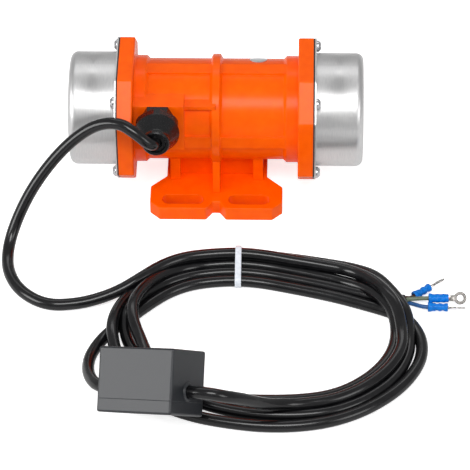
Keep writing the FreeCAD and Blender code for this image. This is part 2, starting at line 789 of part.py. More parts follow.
# Plain rings about the shaft
def ring(name, outer, inner, start, length):
    blank = cylinder_along_x(name + "_blank", outer, start, length)
    hole = cylinder_along_x(name + "_hole", inner, start - 1, length + 2)
    return cut(name, blank, hole)


def race_groove(name):
    groove = doc.addObject("Part::Torus", name)
    bind(groove, "Radius1", s.bearing_pitch)
    bind(groove, "Radius2", s.ball_radius + s.race_gap)
    place(groove, bearing_middle, 0, 0, ALONG_X)
    return groove


def ball_shapes(radius):
    """The balls of one bearing, about the shaft axis at the right end"""
    count = int(SIZES["ball_count"])
    pitch = SIZES["bearing_pitch"]
    shapes = []
    for i in range(count):
        angle = 2 * math.pi * i / count
        centre = Vector(bearing_middle.number, pitch * math.cos(angle), pitch * math.sin(angle))
        shapes.append(Part.makeSphere(radius, centre))
    return shapes


def make_bearing(side):
    outer = ring(f"{side}_outer_ring", s.bearing_outer - s.fit_gap, s.bearing_outer - s.outer_race_wall,
                 bearing_start, s.bearing_width)
    on_axis(cut(f"{side}_outer_cut", outer, race_groove(f"{side}_outer_groove")), f"{side}_bearing_outer_race", side)
    inner = ring(f"{side}_inner_ring", s.bearing_inner + s.inner_race_wall, s.bearing_inner,
                 bearing_start, s.bearing_width)
    on_axis(cut(f"{side}_inner_cut", inner, race_groove(f"{side}_inner_groove")), f"{side}_bearing_inner_race", side)
    half = s.cage_wall / 2
    cage = ring(f"{side}_cage_ring", s.bearing_pitch + half, s.bearing_pitch - half,
                bearing_middle - s.cage_width / 2, s.cage_width)
    pockets = doc.addObject("Part::Feature", f"{side}_cage_pockets")
    pockets.Shape = Part.makeCompound(ball_shapes(SIZES["ball_radius"] + SIZES["race_gap"]))
    on_axis(cut(f"{side}_cage_cut", cage, pockets), f"{side}_ball_cage", side)
    balls = solid_group(f"{side}_bearing_balls", ball_shapes(SIZES["ball_radius"]))
    balls.Placement = FreeCAD.Placement(Vector(0, 0, SIZES["axis_height"]), side_rotation(side))
    retainer_outer = s.bearing_outer + s.retainer_groove - s.fit_gap
    retainer = ring(f"{side}_retainer_ring", retainer_outer, retainer_outer - s.retainer_width,
                    bearing_end + 0.05, s.retainer_thick)
    gap = box_at(f"{side}_retainer_gap", bearing_end - 1, -s.retainer_width, 0,
                 s.retainer_thick + 2, s.retainer_width * 2, s.bearing_outer * 2)
    on_axis(cut(f"{side}_retainer_cut", retainer, gap), f"{side}_bearing_retainer", side)


def make_bearing_seals():
    outer = SIZES["bearing_outer"] - SIZES["outer_race_wall"] - SIZES["shield_gap"]
    inner = SIZES["bearing_inner"] + SIZES["inner_race_wall"] + 0.2
    thick = SIZES["seal_thick"]
    near = bearing_start.number + 0.2
    far = bearing_end.number - 0.2 - thick
    shapes = []
    for start in (near, far, -near - thick, -far - thick):
        base = Vector(start, 0, SIZES["axis_height"])
        disc = Part.makeCylinder(outer, thick, base, Vector(1, 0, 0))
        shapes.append(disc.cut(Part.makeCylinder(inner, thick, base, Vector(1, 0, 0))))
    solid_group("bearing_seals", shapes)


# Stator and rotor
def make_stator():
    body = new_body("stator_core")
    start = -s.stator_length / 2
    blank = new_sketch(body, "blank_line", "YZ_Plane", start)
    draw_circle(blank, 0, 0, s.bore_radius - s.shield_gap)
    draw_circle(blank, 0, 0, s.stator_inner)
    pad(body, "stack", blank, s.stator_length)
    mouth = s.slot_mouth / 2
    root = s.slot_root_width / 2
    lip = s.stator_inner + 1.6
    slot = draw_outline(new_sketch(body, "slot_line", "YZ_Plane", start - 1), [
        (-mouth, s.stator_inner - 1), (mouth, s.stator_inner - 1), (mouth, lip), (mouth * 1.8, lip + 0.8),
        (root, slot_root_radius), (-root, slot_root_radius), (-mouth * 1.8, lip + 0.8), (-mouth, lip),
    ])
    polar(body, "slots", [pocket(body, "slot", slot, s.stator_length + 2, reverse=True)], s.stator_slots)

    coil = new_body("stator_windings")
    gap = s.winding_gap
    side = draw_outline(new_sketch(coil, "side_line", "YZ_Plane", start - 1), [
        (-mouth * 1.6, lip + 0.9), (mouth * 1.6, lip + 0.9),
        (root - gap, slot_root_radius - gap), (-root + gap, slot_root_radius - gap),
    ])
    bar = pad(coil, "coil_side", side, s.stator_length + 2)
    polar(coil, "coil_sides", [bar], s.stator_slots)
    near = s.stator_length / 2 + gap
    soft = (winding_outer - s.winding_inner) / 4
    turn_line = [
        (near, s.winding_inner + 1), (near + 1, s.winding_inner), (winding_reach - soft, s.winding_inner),
        (winding_reach, s.winding_inner + soft), (winding_reach, winding_outer - soft),
        (winding_reach - soft, winding_outer), (near + 1, winding_outer), (near, winding_outer - 1),
    ]
    spin(coil, "end_turns_right", draw_outline(new_sketch(coil, "right_line", "XZ_Plane"), turn_line))
    left_line = [(-a, b) for a, b in reversed(turn_line)]
    spin(coil, "end_turns_left", draw_outline(new_sketch(coil, "left_line", "XZ_Plane"), left_line))


def make_rotor():
    core = new_body("rotor_core")
    start = -s.stator_length / 2
    outer = s.stator_inner - s.rotor_gap
    blank = new_sketch(core, "blank_line", "YZ_Plane", start)
    draw_circle(blank, 0, 0, outer)
    draw_circle(blank, 0, 0, s.shaft_middle_radius + s.fit_gap)
    pad(core, "stack", blank, s.stator_length)
    hole = new_sketch(core, "bar_hole_line", "YZ_Plane", start - 1)
    draw_circle(hole, s.rotor_bar_circle, 0, s.rotor_bar_radius + s.fit_gap)
    polar(core, "bar_holes", [pocket(core, "bar_hole", hole, s.stator_length + 2, reverse=True)], s.rotor_bars)

    cage = new_body("rotor_cage")
    for name, near in (("ring_right", s.stator_length / 2), ("ring_left", start - s.end_ring_length)):
        line = new_sketch(cage, name + "_line", "YZ_Plane", near)
        draw_circle(line, 0, 0, outer - 0.4)
        draw_circle(line, 0, 0, s.end_ring_inner)
        pad(cage, name, line, s.end_ring_length)
        if name == "ring_right":
            bar_line = new_sketch(cage, "bar_line", "YZ_Plane", start - 1)
            draw_circle(bar_line, s.rotor_bar_circle, 0, s.rotor_bar_radius)
            polar(cage, "bars", [pad(cage, "bar", bar_line, s.stator_length + 2)], s.rotor_bars)


def make_shaft():
    body = new_body("shaft")
    end = shaft_end
    seat = s.bearing_inner - s.fit_gap
    chamfer = s.shaft_chamfer
    core = s.stator_length / 2 + 2
    circlip = clip_start - 0.05
    clip_end = clip_start + s.circlip_thick + 0.05
    neck = seat - s.circlip_depth
    right = [
        (core, s.shaft_middle_radius), (core, s.shaft_shoulder_radius), (bearing_start, s.shaft_shoulder_radius),
        (bearing_start, seat), (circlip, seat), (circlip, neck), (clip_end, neck), (clip_end, seat),
        (end - chamfer, seat), (end, seat - chamfer), (end, 0),
    ]
    left = [(-a, b) for a, b in reversed(right)]
    spin(body, "turned", draw_outline(new_sketch(body, "profile", "XZ_Plane"), left + right))
    for name, start in (("right", weight_start), ("left", -weight_start - s.weight_thick)):
        half = s.key_width / 2
        line = draw_outline(new_sketch(body, f"keyway_{name}_line", "XY_Plane", -s.bearing_inner - 1), [
            (start, -half), (start + s.weight_thick, -half), (start + s.weight_thick, half), (start, half),
        ])
        pocket(body, f"keyway_{name}", line, s.key_depth + 1, reverse=True)


# Eccentric weights, their keys and clamp screws
def make_weight(side, name, start, keyed):
    label = f"{side}_{name}_weight"
    sector = doc.addObject("Part::Cylinder", label + "_sector")
    bind(sector, "Radius", weight_radius)
    bind(sector, "Height", s.weight_thick)
    bind(sector, "Angle", s.weight_angle)
    half_turn = Rotation(Vector(0, 0, 1), -SIZES["weight_angle"] / 2)
    place(sector, start, 0, 0, ALONG_X * half_turn)
    hub = cylinder_along_x(label + "_hub", s.weight_hub_radius, start, s.weight_thick)
    ears = box_at(label + "_ears", start, -s.weight_ear_width / 2, 0,
                  s.weight_thick, s.weight_ear_width, s.weight_ear_height)
    bore = cylinder_along_x(label + "_bore", s.bearing_inner - s.fit_gap + s.weight_bore_gap,
                            start - 1, s.weight_thick + 2)
    split = box_at(label + "_split", start - 1, -s.weight_split / 2, 0,
                   s.weight_thick + 2, s.weight_split, s.weight_ear_height + 1)
    screw_hole = doc.addObject("Part::Cylinder", label + "_screw_hole")
    bind(screw_hole, "Radius", s.clamp_screw_radius)
    bind(screw_hole, "Height", s.weight_ear_width + 2)
    place(screw_hole, start + s.weight_thick / 2, s.weight_ear_width / 2 + 1, s.clamp_screw_height,
          Rotation(Vector(1, 0, 0), 90))
    tools = [bore, split, screw_hole]
    if keyed:
        tools.append(box_at(label + "_keyway", start - 1, -s.key_width / 2 - 0.02, -s.bearing_inner - s.key_depth,
                            s.weight_thick + 2, s.key_width + 0.04, s.bearing_inner))
    weight = cut(label + "_cut", fuse(label + "_blank", [sector, hub, ears]), fuse(label + "_tools", tools))
    on_axis(weight, label, side)

    shank = doc.addObject("Part::Cylinder", label + "_screw_shank")
    bind(shank, "Radius", s.clamp_screw_radius - s.thread_gap)
    bind(shank, "Height", s.weight_ear_width)
    middle = start + s.weight_thick / 2
    place(shank, middle, s.weight_ear_width / 2, s.clamp_screw_height, Rotation(Vector(1, 0, 0), 90))
    head = doc.addObject("Part::Cylinder", label + "_screw_head")
    bind(head, "Radius", s.clamp_head_radius)
    bind(head, "Height", s.clamp_head_height)
    place(head, middle, s.weight_ear_width / 2 + s.clamp_head_height, s.clamp_screw_height,
          Rotation(Vector(1, 0, 0), 90))
    socket = doc.addObject("Part::Prism", label + "_screw_socket")
    socket.Polygon = 6
    bind(socket, "Circumradius", s.clamp_screw_radius * 0.92)
    bind(socket, "Height", s.clamp_head_height * 0.6)
    place(socket, middle, s.weight_ear_width / 2 + s.clamp_head_height + 0.1, s.clamp_screw_height,
          Rotation(Vector(1, 0, 0), 90))
    screw = cut(label + "_screw_cut", fuse(label + "_screw_blank", [shank, head]), socket)
    on_axis(screw, f"{side}_{name}_clamp_screw", side)


def make_shaft_fittings():
    axis = SIZES["axis_height"]
    keys, clips, spacers = [], [], []
    half = SIZES["key_width"] / 2
    floor = -SIZES["bearing_inner"] + SIZES["key_depth"]
    drop = SIZES["key_height"] - 0.1
    for turn in (Rotation(), ABOUT_Z):
        end = FreeCAD.Placement(Vector(0, 0, axis), turn)
        key = Part.makeBox(SIZES["weight_thick"] - 0.1, half * 2 - 0.02, drop - 0.02,
                           Vector(weight_start.number + 0.05, -half + 0.01, floor - drop))
        clip_radius = SIZES["bearing_inner"] - SIZES["circlip_depth"] + 0.02
        base = Vector(clip_start.number, 0, 0)
        clip = Part.makeCylinder(clip_radius + SIZES["circlip_width"], SIZES["circlip_thick"], base, Vector(1, 0, 0))
        clip = clip.cut(Part.makeCylinder(clip_radius, SIZES["circlip_thick"], base, Vector(1, 0, 0)))
        gap = SIZES["circlip_width"]
        clip = clip.cut(Part.makeBox(4, gap, 20, base + Vector(-1, -gap / 2, 0)))
        base = Vector(bearing_end.number + 0.05, 0, 0)
        length = weight_start.number - bearing_end.number - 0.15
        spacer = Part.makeCylinder(SIZES["bearing_inner"] + 2, length, base, Vector(1, 0, 0))
        spacer = spacer.cut(Part.makeCylinder(SIZES["bearing_inner"], length, base, Vector(1, 0, 0)))
        for shape, group in ((key, keys), (clip, clips), (spacer, spacers)):
            shape.Placement = end
            group.append(shape)
    solid_group("weight_keys", keys)
    solid_group("shaft_circlips", clips)
    solid_group("weight_spacers", spacers)


# Cable gland, turned about its own axis, which is square to the boss face
GLAND_TURN = Rotation(Vector(1, 0, 0), -SIZES["boss_tilt"]) * Rotation(Vector(0, 0, 1), -90)
cord_clear = s.cord_radius + s.thread_gap


def gland_body_at(label):
    return new_body(label, GLAND_TURN, -gland_offset, -gland_front, s.axis_height + gland_height)


def make_gland():
    body = gland_body_at("gland_body")
    neck_end = s.gland_hex_thick + 5
    stem = draw_outline(new_sketch(body, "stem_line", "XZ_Plane"), [
        (-s.gland_thread_length, 0), (-s.gland_thread_length, s.gland_thread_radius - s.thread_gap),
        (0, s.gland_thread_radius - s.thread_gap), (0, s.gland_neck_radius), (neck_end, s.gland_neck_radius),
        (neck_end, 0),
    ])
    spin(body, "stem", stem)
    flat = s.gland_hex / 2
    point = flat / math.cos(math.radians(30))
    hexagon = draw_outline(new_sketch(body, "hex_line", "YZ_Plane", 0.05), [
        (point, 0), (point / 2, flat), (-point / 2, flat), (-point, 0), (-point / 2, -flat), (point / 2, -flat),
    ])
    pad(body, "hex", hexagon, s.gland_hex_thick)
    hole = draw_circle(new_sketch(body, "hole_line", "YZ_Plane", -s.gland_thread_length - 1), 0, 0, cord_clear + 0.2)
    pocket(body, "hole", hole, neck_end + s.gland_thread_length + 2, reverse=True)

    nut = gland_body_at("gland_nut")
    start = s.gland_nut_start
    grip = start + s.gland_nut_grip
    tip = s.gland_length
    radius = s.gland_nut_radius
    dome = tip - 4
    line = draw_outline(new_sketch(nut, "nut_line", "XZ_Plane"), [
        (start, s.gland_neck_radius + s.thread_gap), (start, radius - 0.8), (start + 0.8, radius), (grip, radius),
        (dome, s.gland_tip_radius), (tip - 0.8, s.gland_tip_radius), (tip, s.gland_tip_radius - 0.8),
        (tip, s.gland_mouth_radius), (tip - 1.6, s.gland_mouth_radius - 0.4),
        (neck_end + 1, s.gland_neck_radius + s.thread_gap),
    ])
    turned = spin(nut, "turned", line)
    grip_end, dome_start = grip.number, dome.number

    def is_dome_edge(edge):
        centre = edge.BoundBox.Center.x
        wide = edge.BoundBox.YLength > 2 * SIZES["gland_tip_radius"] - 0.01
        return edge.Closed and wide and min(abs(centre - grip_end), abs(centre - dome_start)) < 0.01

    round_edges(nut, "dome", turned, 3.0, is_dome_edge)
    flats = new_sketch(nut, "flats_line", "YZ_Plane", start - 1)
    flat = s.gland_nut_flats / 2
    draw_circle(flats, 0, 0, flat * 1.5)
    point = flat / math.cos(math.radians(30))
    draw_outline(flats, [
        (0, point), (-flat, point / 2), (-flat, -point / 2), (0, -point), (flat, -point / 2), (flat, point / 2),
    ])
    pocket(nut, "flats", flats, s.gland_nut_grip + 1, reverse=True)

    seal = gland_body_at("gland_seal")
    seal_line = draw_outline(new_sketch(seal, "seal_line", "XZ_Plane"), [
        (neck_end + 0.1, cord_clear), (neck_end + 0.1, s.gland_neck_radius - 0.6),
        (tip - 1.8, s.gland_mouth_radius - 0.55), (tip - 1.2, s.gland_mouth_radius - 0.55), (tip - 1.2, cord_clear),
    ])
    spin(seal, "turned", seal_line)

    stub = gland_body_at("cord_inner_end")
    stub_line = draw_circle(new_sketch(stub, "stub_line", "YZ_Plane", -s.gland_thread_length), 0, 0, s.cord_radius)
    pad(stub, "sheath", stub_line, s.gland_thread_length + s.inner_end_reach)


# Foil disc on the back of the barrel
def make_foil_disc():
    seat = barrel_radius + 0.02
    shell = ring("disc_shell", seat + s.disc_thick, seat, s.disc_place - s.disc_radius - 1, s.disc_radius * 2 + 2)
    punch = doc.addObject("Part::Cylinder", "disc_punch")
    bind(punch, "Radius", s.disc_radius)
    bind(punch, "Height", barrel_radius * 2)
    place(punch, s.disc_place, 0, 0, Rotation(Vector(1, 0, 0), 90 - SIZES["disc_angle"]))
    disc = doc.addObject("Part::Common", "disc_cut")
    disc.Base = shell
    disc.Tool = punch
    on_axis(disc, "foil_disc")


# Cords: straight runs joined by tangent arcs, as large as the shorter run allows
def tube(points, radius, report=None):
    points = [Vector(*point) for point in points]
    edges = []
    radii = []
    at = points[0]
    for before, corner, after in zip(points, points[1:], points[2:]):
        back = before - corner
        ahead = after - corner
        short = min(back.Length, ahead.Length)
        back.normalize()
        ahead.normalize()
        half = math.acos(max(-1.0, min(1.0, -back.dot(ahead)))) / 2
        trim = 0.45 * short
        bend = trim / math.tan(half)
        radii.append(bend)
        middle = (back + ahead).normalize()
        centre = corner + middle * (bend / math.cos(half))
        start = corner + back * trim
        end = corner + ahead * trim
        edges.append(Part.LineSegment(at, start).toShape())
        edges.append(Part.Arc(start, centre - middle * bend, end).toShape())
        at = end
    edges.append(Part.LineSegment(at, points[-1]).toShape())
    path = Part.Wire(edges)
    heading = points[1] - points[0]
    section = Part.Wire(Part.Circle(points[0], heading, radius).toShape())
    solid = path.makePipeShell([section], True, False)
    ideal = math.pi * radius ** 2 * path.Length
    if report:
        print(report, "length", round(path.Length), "tightest", round(min(radii, default=0), 1),
              "radii", [round(r) for r in radii], "volume ratio", round(solid.Volume / ideal, 4))
    return solid


MOTOR_CORD_ROUTE = [
    (-39.5, -52.08, 76.09), (-39.5, -64.83, 78.1), (-44.5, -68.0, 82.4), (-52.5, -66.0, 89.5), (-63.5, -60.0, 94.0),
    (-78.0, -56.0, 89.5),
    (-93.0, -57.0, 77.5), (-108.0, -61.5, 60.5), (-121.5, -68.0, 41.0), (-133.0, -77.0, 20.5), (-139.5, -90.5, 7.0),
    (-136.5, -109.5, 4.2), (-124.5, -130.0, 4.2), (-106.0, -142.0, 4.2), (-84.0, -142.5, 4.2), (-62.5, -130.0, 4.2),
    (-43.0, -112.0, 4.2), (-24.5, -100.0, 4.2), (-9.0, -95.5, 4.2),
]
MOTOR_CORD_END_ROUTE = [
    (-14.7, -260.8, 40.8), (-1.4, -266.0, 45.5), (11.0, -266.5, 43.0), (24.3, -258.5, 32.0), (37.7, -248.2, 19.0),
    (51.1, -240.6, 9.5), (64.0, -235.0, 6.0),
]
SUPPLY_CORD_START_ROUTE = [
    (-58.0, -243.9, 25.7), (-70.4, -239.1, 21.4), (-80.5, -219.0, 12.5), (-80.0, -197.0, 7.0), (-73.0, -176.0, 4.2),
]
SUPPLY_CORD_END_ROUTE = [(111.0, -151.5, 4.2), (120.5, -144.5, 4.2), (129.8, -137.2, 4.2)]
COIL_OUTER = (33.0, -174.0, 111.0, 86.0)
COIL_INNER = (34.0, -175.0, 79.0, 48.5)
COIL_CROSSINGS = ((96.0, -205.0, 50.0, 80.0), (-80.0, -195.0, 36.0, 60.0), (-64.0, -252.0, 72.0, 40.0))
TERMINALS_SPACE = (125.5, -144.0, 60.0, 80.0)
TIE_PLACE = 16.0
BOX_CORNER = (-71.0, -266.7, 28.0)
BOX_TURN = Rotation(Vector(0, 0, 1), -3.2) * Rotation(Vector(1, 0, 0), -46.5) * Rotation(Vector(0, 0, 1), -25.2)


def ellipse_face(place_and_size):
    x, y, long_half, short_half = place_and_size
    edge = Part.Ellipse(Vector(x, y, 0), long_half, short_half).toShape()
    return Part.Face(Part.Wire(edge))


def ellipse_back(place_and_size, along):
    """Largest y of an ellipse at the given x"""
    x, y, long_half, short_half = place_and_size
    return y + short_half * math.sqrt(1 - ((along - x) / long_half) ** 2)


def make_cords():
    radius = SIZES["cord_radius"]
    solid_group("motor_cord", [tube(MOTOR_CORD_ROUTE, radius, "motor_cord")])
    solid_group("motor_cord_end", [tube(MOTOR_CORD_END_ROUTE, radius, "motor_cord_end")])
    solid_group("supply_cord_start", [tube(SUPPLY_CORD_START_ROUTE, radius, "supply_cord_start")])
    solid_group("supply_cord_end", [tube(SUPPLY_CORD_END_ROUTE, radius, "supply_cord_end")])


def make_coil_and_tie():
    low = SIZES["coil_height"]
    turns = ellipse_face(COIL_OUTER).cut(ellipse_face(COIL_INNER)).extrude(Vector(0, 0, low))
    turns = turns.makeFillet(low * 0.4, [edge for edge in turns.Edges if edge.Closed])
    upper = turns.translated(Vector(0, 0, low * 0.95))
    coil = turns
    for x, y, wide, deep in COIL_CROSSINGS:
        coil = coil.fuse(upper.common(Part.makeBox(wide, deep, low * 3, Vector(x, y, 0))))
    thick = SIZES["tie_thick"]
    width = SIZES["tie_width"]
    gap = SIZES["tie_gap"]
    start = TIE_PLACE - width / 2
    near = min(ellipse_back(COIL_INNER, start), ellipse_back(COIL_INNER, start + width)) - gap
    far = max(ellipse_back(COIL_OUTER, start), ellipse_back(COIL_OUTER, start + width)) + gap
    under = Part.makeBox(width + 2 * gap, far - near + 2, thick + gap, Vector(start - gap, near - 1, 0))
    box_gap = SIZES["box_seat_gap"]
    box_space = Part.makeBox(SIZES["box_length"] + 2 * box_gap, SIZES["box_depth"] + 2 * box_gap,
                             SIZES["box_height"] + 2 * box_gap, Vector(-box_gap, -box_gap, -box_gap))
    box_space.Placement = FreeCAD.Placement(Vector(*BOX_CORNER), BOX_TURN)
    x, y, wide, deep = TERMINALS_SPACE
    ends = Part.makeBox(wide, deep, low * 3, Vector(x, y, -1))
    coil = coil.cut(under).cut(box_space).cut(ends)
    for route in (MOTOR_CORD_ROUTE, MOTOR_CORD_END_ROUTE, SUPPLY_CORD_START_ROUTE, SUPPLY_CORD_END_ROUTE):
        coil = coil.cut(tube(route, SIZES["cord_radius"] + box_gap))
    solids = sorted(coil.removeSplitter().Solids, key=lambda solid: solid.Volume)
    print("coil solids", [round(solid.Volume) for solid in solids])
    solid_group("cord_coil", solids[-1:])

    top = low + gap
    loop = Part.makeBox(width, far - near + 2 * thick, top + thick, Vector(start, near - thick, 0))
    loop = loop.cut(Part.makeBox(width + 2, far - near, top - thick, Vector(start - 1, near, thick)))
    clasp = Part.makeBox(width + 1.6, 4.5, 5.5, Vector(start - 0.8, far + thick, 1.5))
    solid_group("cable_tie", [loop.fuse(clasp).removeSplitter()])


# Capacitor box, built level and then laid against the coil
def make_capacitor_box():
    def box_body(label):
        body = doc.addObject("PartDesign::Body", label)
        place(body, *BOX_CORNER, BOX_TURN)
        return keep(body, label)

    length, depth, height = s.box_length, s.box_depth, s.box_height
    wall = s.box_wall
    lid_height = s.box_lid_height
    middle = depth / 2

    def rectangle(sketch, inset):
        return draw_outline(sketch, [
            (inset, inset), (length - inset, inset), (length - inset, depth - inset), (inset, depth - inset),
        ])

    shell = box_body("capacitor_box")
    blank = pad(shell, "blank", rectangle(new_sketch(shell, "blank_line", "XY_Plane", lid_height), 0),
                height - lid_height)
    top = SIZES["box_height"]

    def is_shell_edge(edge):
        box = edge.BoundBox
        upright = box.XLength < 0.01 and box.YLength < 0.01
        return upright or (box.ZLength < 0.01 and abs(box.ZMax - top) < 0.01)

    round_edges(shell, "edges", blank, s.box_round, is_shell_edge)
    cavity = rectangle(new_sketch(shell, "cavity_line", "XY_Plane", lid_height - 1), wall)
    pocket(shell, "cavity", cavity, height - lid_height - wall + 1, reverse=True)
    ports = new_sketch(shell, "port_line", "YZ_Plane", -1)
    draw_circle(ports, middle, s.box_port_height, s.box_port_radius - 1)
    pocket(shell, "ports", ports, length + 2, reverse=True)

    lid = box_body("capacitor_box_lid")
    plate = pad(lid, "plate", rectangle(new_sketch(lid, "plate_line", "XY_Plane", 0), 0), lid_height - 0.05)

    def is_lid_edge(edge):
        box = edge.BoundBox
        upright = box.XLength < 0.01 and box.YLength < 0.01
        return upright or (box.ZLength < 0.01 and abs(box.ZMin) < 0.01)

    round_edges(lid, "edges", plate, s.box_round, is_lid_edge)
    tray = rectangle(new_sketch(lid, "tray_line", "XY_Plane", wall), wall)
    pocket(lid, "tray", tray, lid_height, reverse=True)

    laid = FreeCAD.Placement(Vector(*BOX_CORNER), BOX_TURN)
    port = SIZES["box_port_radius"] - 1
    grommets = []
    for start, outward in ((0, -1), (SIZES["box_length"], 1)):
        base = Vector(start, SIZES["box_depth"] / 2, SIZES["box_port_height"])
        way = Vector(outward, 0, 0)
        sleeve = Part.makeCylinder(port - SIZES["grommet_gap"], SIZES["box_wall"], base - way * SIZES["box_wall"], way)
        flange = Part.makeCone(port + 1, port, SIZES["grommet_flange"], base + way * 0.02, way)
        grommet = sleeve.fuse(flange).fuse(Part.makeCylinder(port - 0.1, 0.2, base - way * 0.1, way))
        bore = Part.makeCylinder(SIZES["cord_radius"] + SIZES["grommet_bore_gap"], 20, base - way * 10, way)
        grommet = grommet.cut(bore).removeSplitter()
        grommet.Placement = laid
        grommets.append(grommet)
    solid_group("box_grommets", grommets)

    inside = doc.addObject("Part::Cylinder", "capacitor_can")
    bind(inside, "Radius", s.capacitor_radius)
    can_start = s.box_wall + s.capacitor_end_gap
    bind(inside, "Height", s.box_length - can_start * 2)
    rise = SIZES["box_height"] - SIZES["box_wall"] - SIZES["capacitor_radius"] - 0.3
    spot = Vector(can_start.number, SIZES["box_depth"] / 2, rise)
    inside.Placement = laid.multiply(FreeCAD.Placement(spot, ALONG_X))
    keep(inside, "box_capacitor")


# Core leads and ring terminals beyond the end of the supply cord
TERMINALS = {
    "brown": {"from": (135.1, -132.3, 2.9), "to": (147.8, -122.8, 4.2), "round": 10, "roll": 80},
    "green": {"from": (143.7, -136.9, 6.4), "to": (157.6, -136.6, 6.4), "round": 130, "roll": 20},
    "blue": {"from": (143.7, -142.1, 3.2), "to": (157.6, -142.5, 3.2), "round": 250, "roll": 80},
}


def make_terminals():
    sheath_end = Vector(*SUPPLY_CORD_END_ROUTE[-1])
    ahead = (sheath_end - Vector(*SUPPLY_CORD_END_ROUTE[-2])).normalize()
    aside = Vector(0, 0, 1).cross(ahead)
    lead = SIZES["lead_radius"]
    barrel_length = SIZES["ring_barrel_length"]
    barrel_radius = SIZES["ring_barrel_radius"]
    plate = SIZES["ring_sheet"]
    along = Vector(1, 0, 0)
    sleeves, rings = [], []
    for colour, spots in TERMINALS.items():
        start = Vector(*spots["from"])
        way = (Vector(*spots["to"]) - start).normalize()
        length = SIZES["sleeve_length"]
        seat = start + way * (length - barrel_length - 0.4)
        turn = math.radians(spots["round"])
        exit_point = sheath_end + (aside * math.cos(turn) + Vector(0, 0, math.sin(turn))) * (lead * 1.4)
        solid_group(f"lead_{colour}", [tube([exit_point, exit_point + ahead * 1.5, start - way * 1.5, seat], lead)])
        gap = SIZES["thread_gap"]
        sleeve = Part.makeCylinder(SIZES["sleeve_radius"], length, start, way)
        sleeve = sleeve.cut(Part.makeCylinder(barrel_radius + gap, length, start + way * 2, way))
        sleeve = sleeve.cut(Part.makeCylinder(lead + gap * 3, length, start - way, way))
        sleeves.append(sleeve.removeSplitter())
        centre = barrel_length + 2.5 + SIZES["ring_outer"]
        barrel = Part.makeCylinder(barrel_radius, barrel_length, Vector(0, 0, 0), along)
        tongue = Part.makeBox(centre - barrel_length + 1, 3.4, plate, Vector(barrel_length - 1, -1.7, -plate / 2))
        eye = Part.makeCylinder(SIZES["ring_outer"], plate, Vector(centre, 0, -plate / 2))
        hole = Part.makeCylinder(SIZES["ring_hole"], plate + 2, Vector(centre, 0, -plate / 2 - 1))
        terminal = barrel.fuse(tongue).fuse(eye).cut(hole).removeSplitter()
        roll = Rotation(along, spots["roll"])
        terminal.Placement = FreeCAD.Placement(seat, Rotation(along, way) * roll)
        rings.append(terminal)
    solid_group("terminal_sleeves", sleeves)
    solid_group("terminal_rings", rings)


# Lead wires from the winding's end face to the gland
def make_lead_wires():
    front = -gland_front.number + SIZES["gland_thread_length"] * math.cos(TILT)
    level = SIZES["axis_height"] + gland_height.number - SIZES["gland_thread_length"] * math.sin(TILT)
    winding = -winding_reach.number - 0.75
    wires = []
    for i, along in enumerate((-40.2, -41.8, -43.0)):
        height = level - 3.2 + 1.9 * i
        face = front + (height - level) * math.tan(TILT) + 0.3
        wires.append(tube([
            (along, face, height), (along - 1.5, front + 4.5, height), (along, front + 9.5, height),
            (winding, front + 11.5, height),
        ], 0.9))
    solid_group("lead_wires", wires)


for end in ("left", "right"):
    make_gasket(end)
    make_cover(end)
    make_shield(end)
    make_bearing(end)
    make_weight(end, "inner", weight_start, keyed=True)
    make_weight(end, "outer", outer_weight_start, keyed=False)
make_screws()
make_bearing_seals()
make_stator()
make_rotor()
make_shaft()
make_shaft_fittings()
make_gland()
make_foil_disc()
make_lead_wires()
make_cords()
make_coil_and_tie()
make_capacitor_box()
make_terminals()
doc.recompute()

# Every object is checked before anything is written
failed = [obj.Name for obj in doc.Objects if "Invalid" in obj.State or "Error" in obj.State]
if failed:
    raise RuntimeError(f"objects that failed: {failed}")
for part in SUB_PARTS:
    if part.Shape.isNull() or not part.Shape.isValid():
        raise RuntimeError(f"bad shape: {part.Label}")
os.makedirs("parts", exist_ok=True)
for part in SUB_PARTS:
    part.Shape.exportStep(os.path.join("parts", part.Label + ".step"))
print(len(SUB_PARTS), "nodes", sum(len(part.Shape.Solids) for part in SUB_PARTS), "solids")
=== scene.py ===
# %% [markdown]
# # Small vibration motor with its cord, capacitor box and ring terminals
#
# The motor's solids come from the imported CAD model, in metres, and stay where they are. This lesson gives them their
# finishes, and makes anew what a solid can't show well: the two soft cords, the cable tie, the crimped sleeves and
# the ring terminals. Each step says what the piece is on the real object, how it could be made, and why this way was
# chosen.

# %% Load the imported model
import math

import bmesh
import bpy
from mathutils import Matrix, Vector


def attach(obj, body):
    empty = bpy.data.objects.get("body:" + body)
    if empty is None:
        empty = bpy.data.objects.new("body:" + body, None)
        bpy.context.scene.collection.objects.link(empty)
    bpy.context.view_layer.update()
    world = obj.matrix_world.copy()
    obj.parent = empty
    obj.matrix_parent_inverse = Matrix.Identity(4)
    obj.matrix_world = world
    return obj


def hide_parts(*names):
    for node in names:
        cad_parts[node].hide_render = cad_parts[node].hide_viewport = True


MM = 0.001
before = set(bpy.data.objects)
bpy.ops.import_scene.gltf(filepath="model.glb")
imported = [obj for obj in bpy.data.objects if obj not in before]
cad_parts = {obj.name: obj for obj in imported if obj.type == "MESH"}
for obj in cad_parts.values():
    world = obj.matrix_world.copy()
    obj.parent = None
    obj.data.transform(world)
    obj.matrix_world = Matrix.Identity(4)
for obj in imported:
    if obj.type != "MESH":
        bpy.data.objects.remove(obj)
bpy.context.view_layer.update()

# %% [markdown]
# ## The camera
#
# The photograph is a product shot from the front and well above, taken from far away, so the verticals barely
# converge. A long lens from 2.2 metres gives that. The camera could be aimed with a Track To constraint, but a
# matrix built from three directions also holds the small roll, and nothing has to be evaluated.

# %% Camera
AIM = Vector((13.58, -69.0, 0.0)) * MM
DISTANCE = 2.2                 # from the aim, in metres
FOCAL_LENGTH = 243.42
FAR_CLIP = 20.0
azimuth = math.radians(1.735)
elevation = math.radians(42.861)
roll = math.radians(0.676)

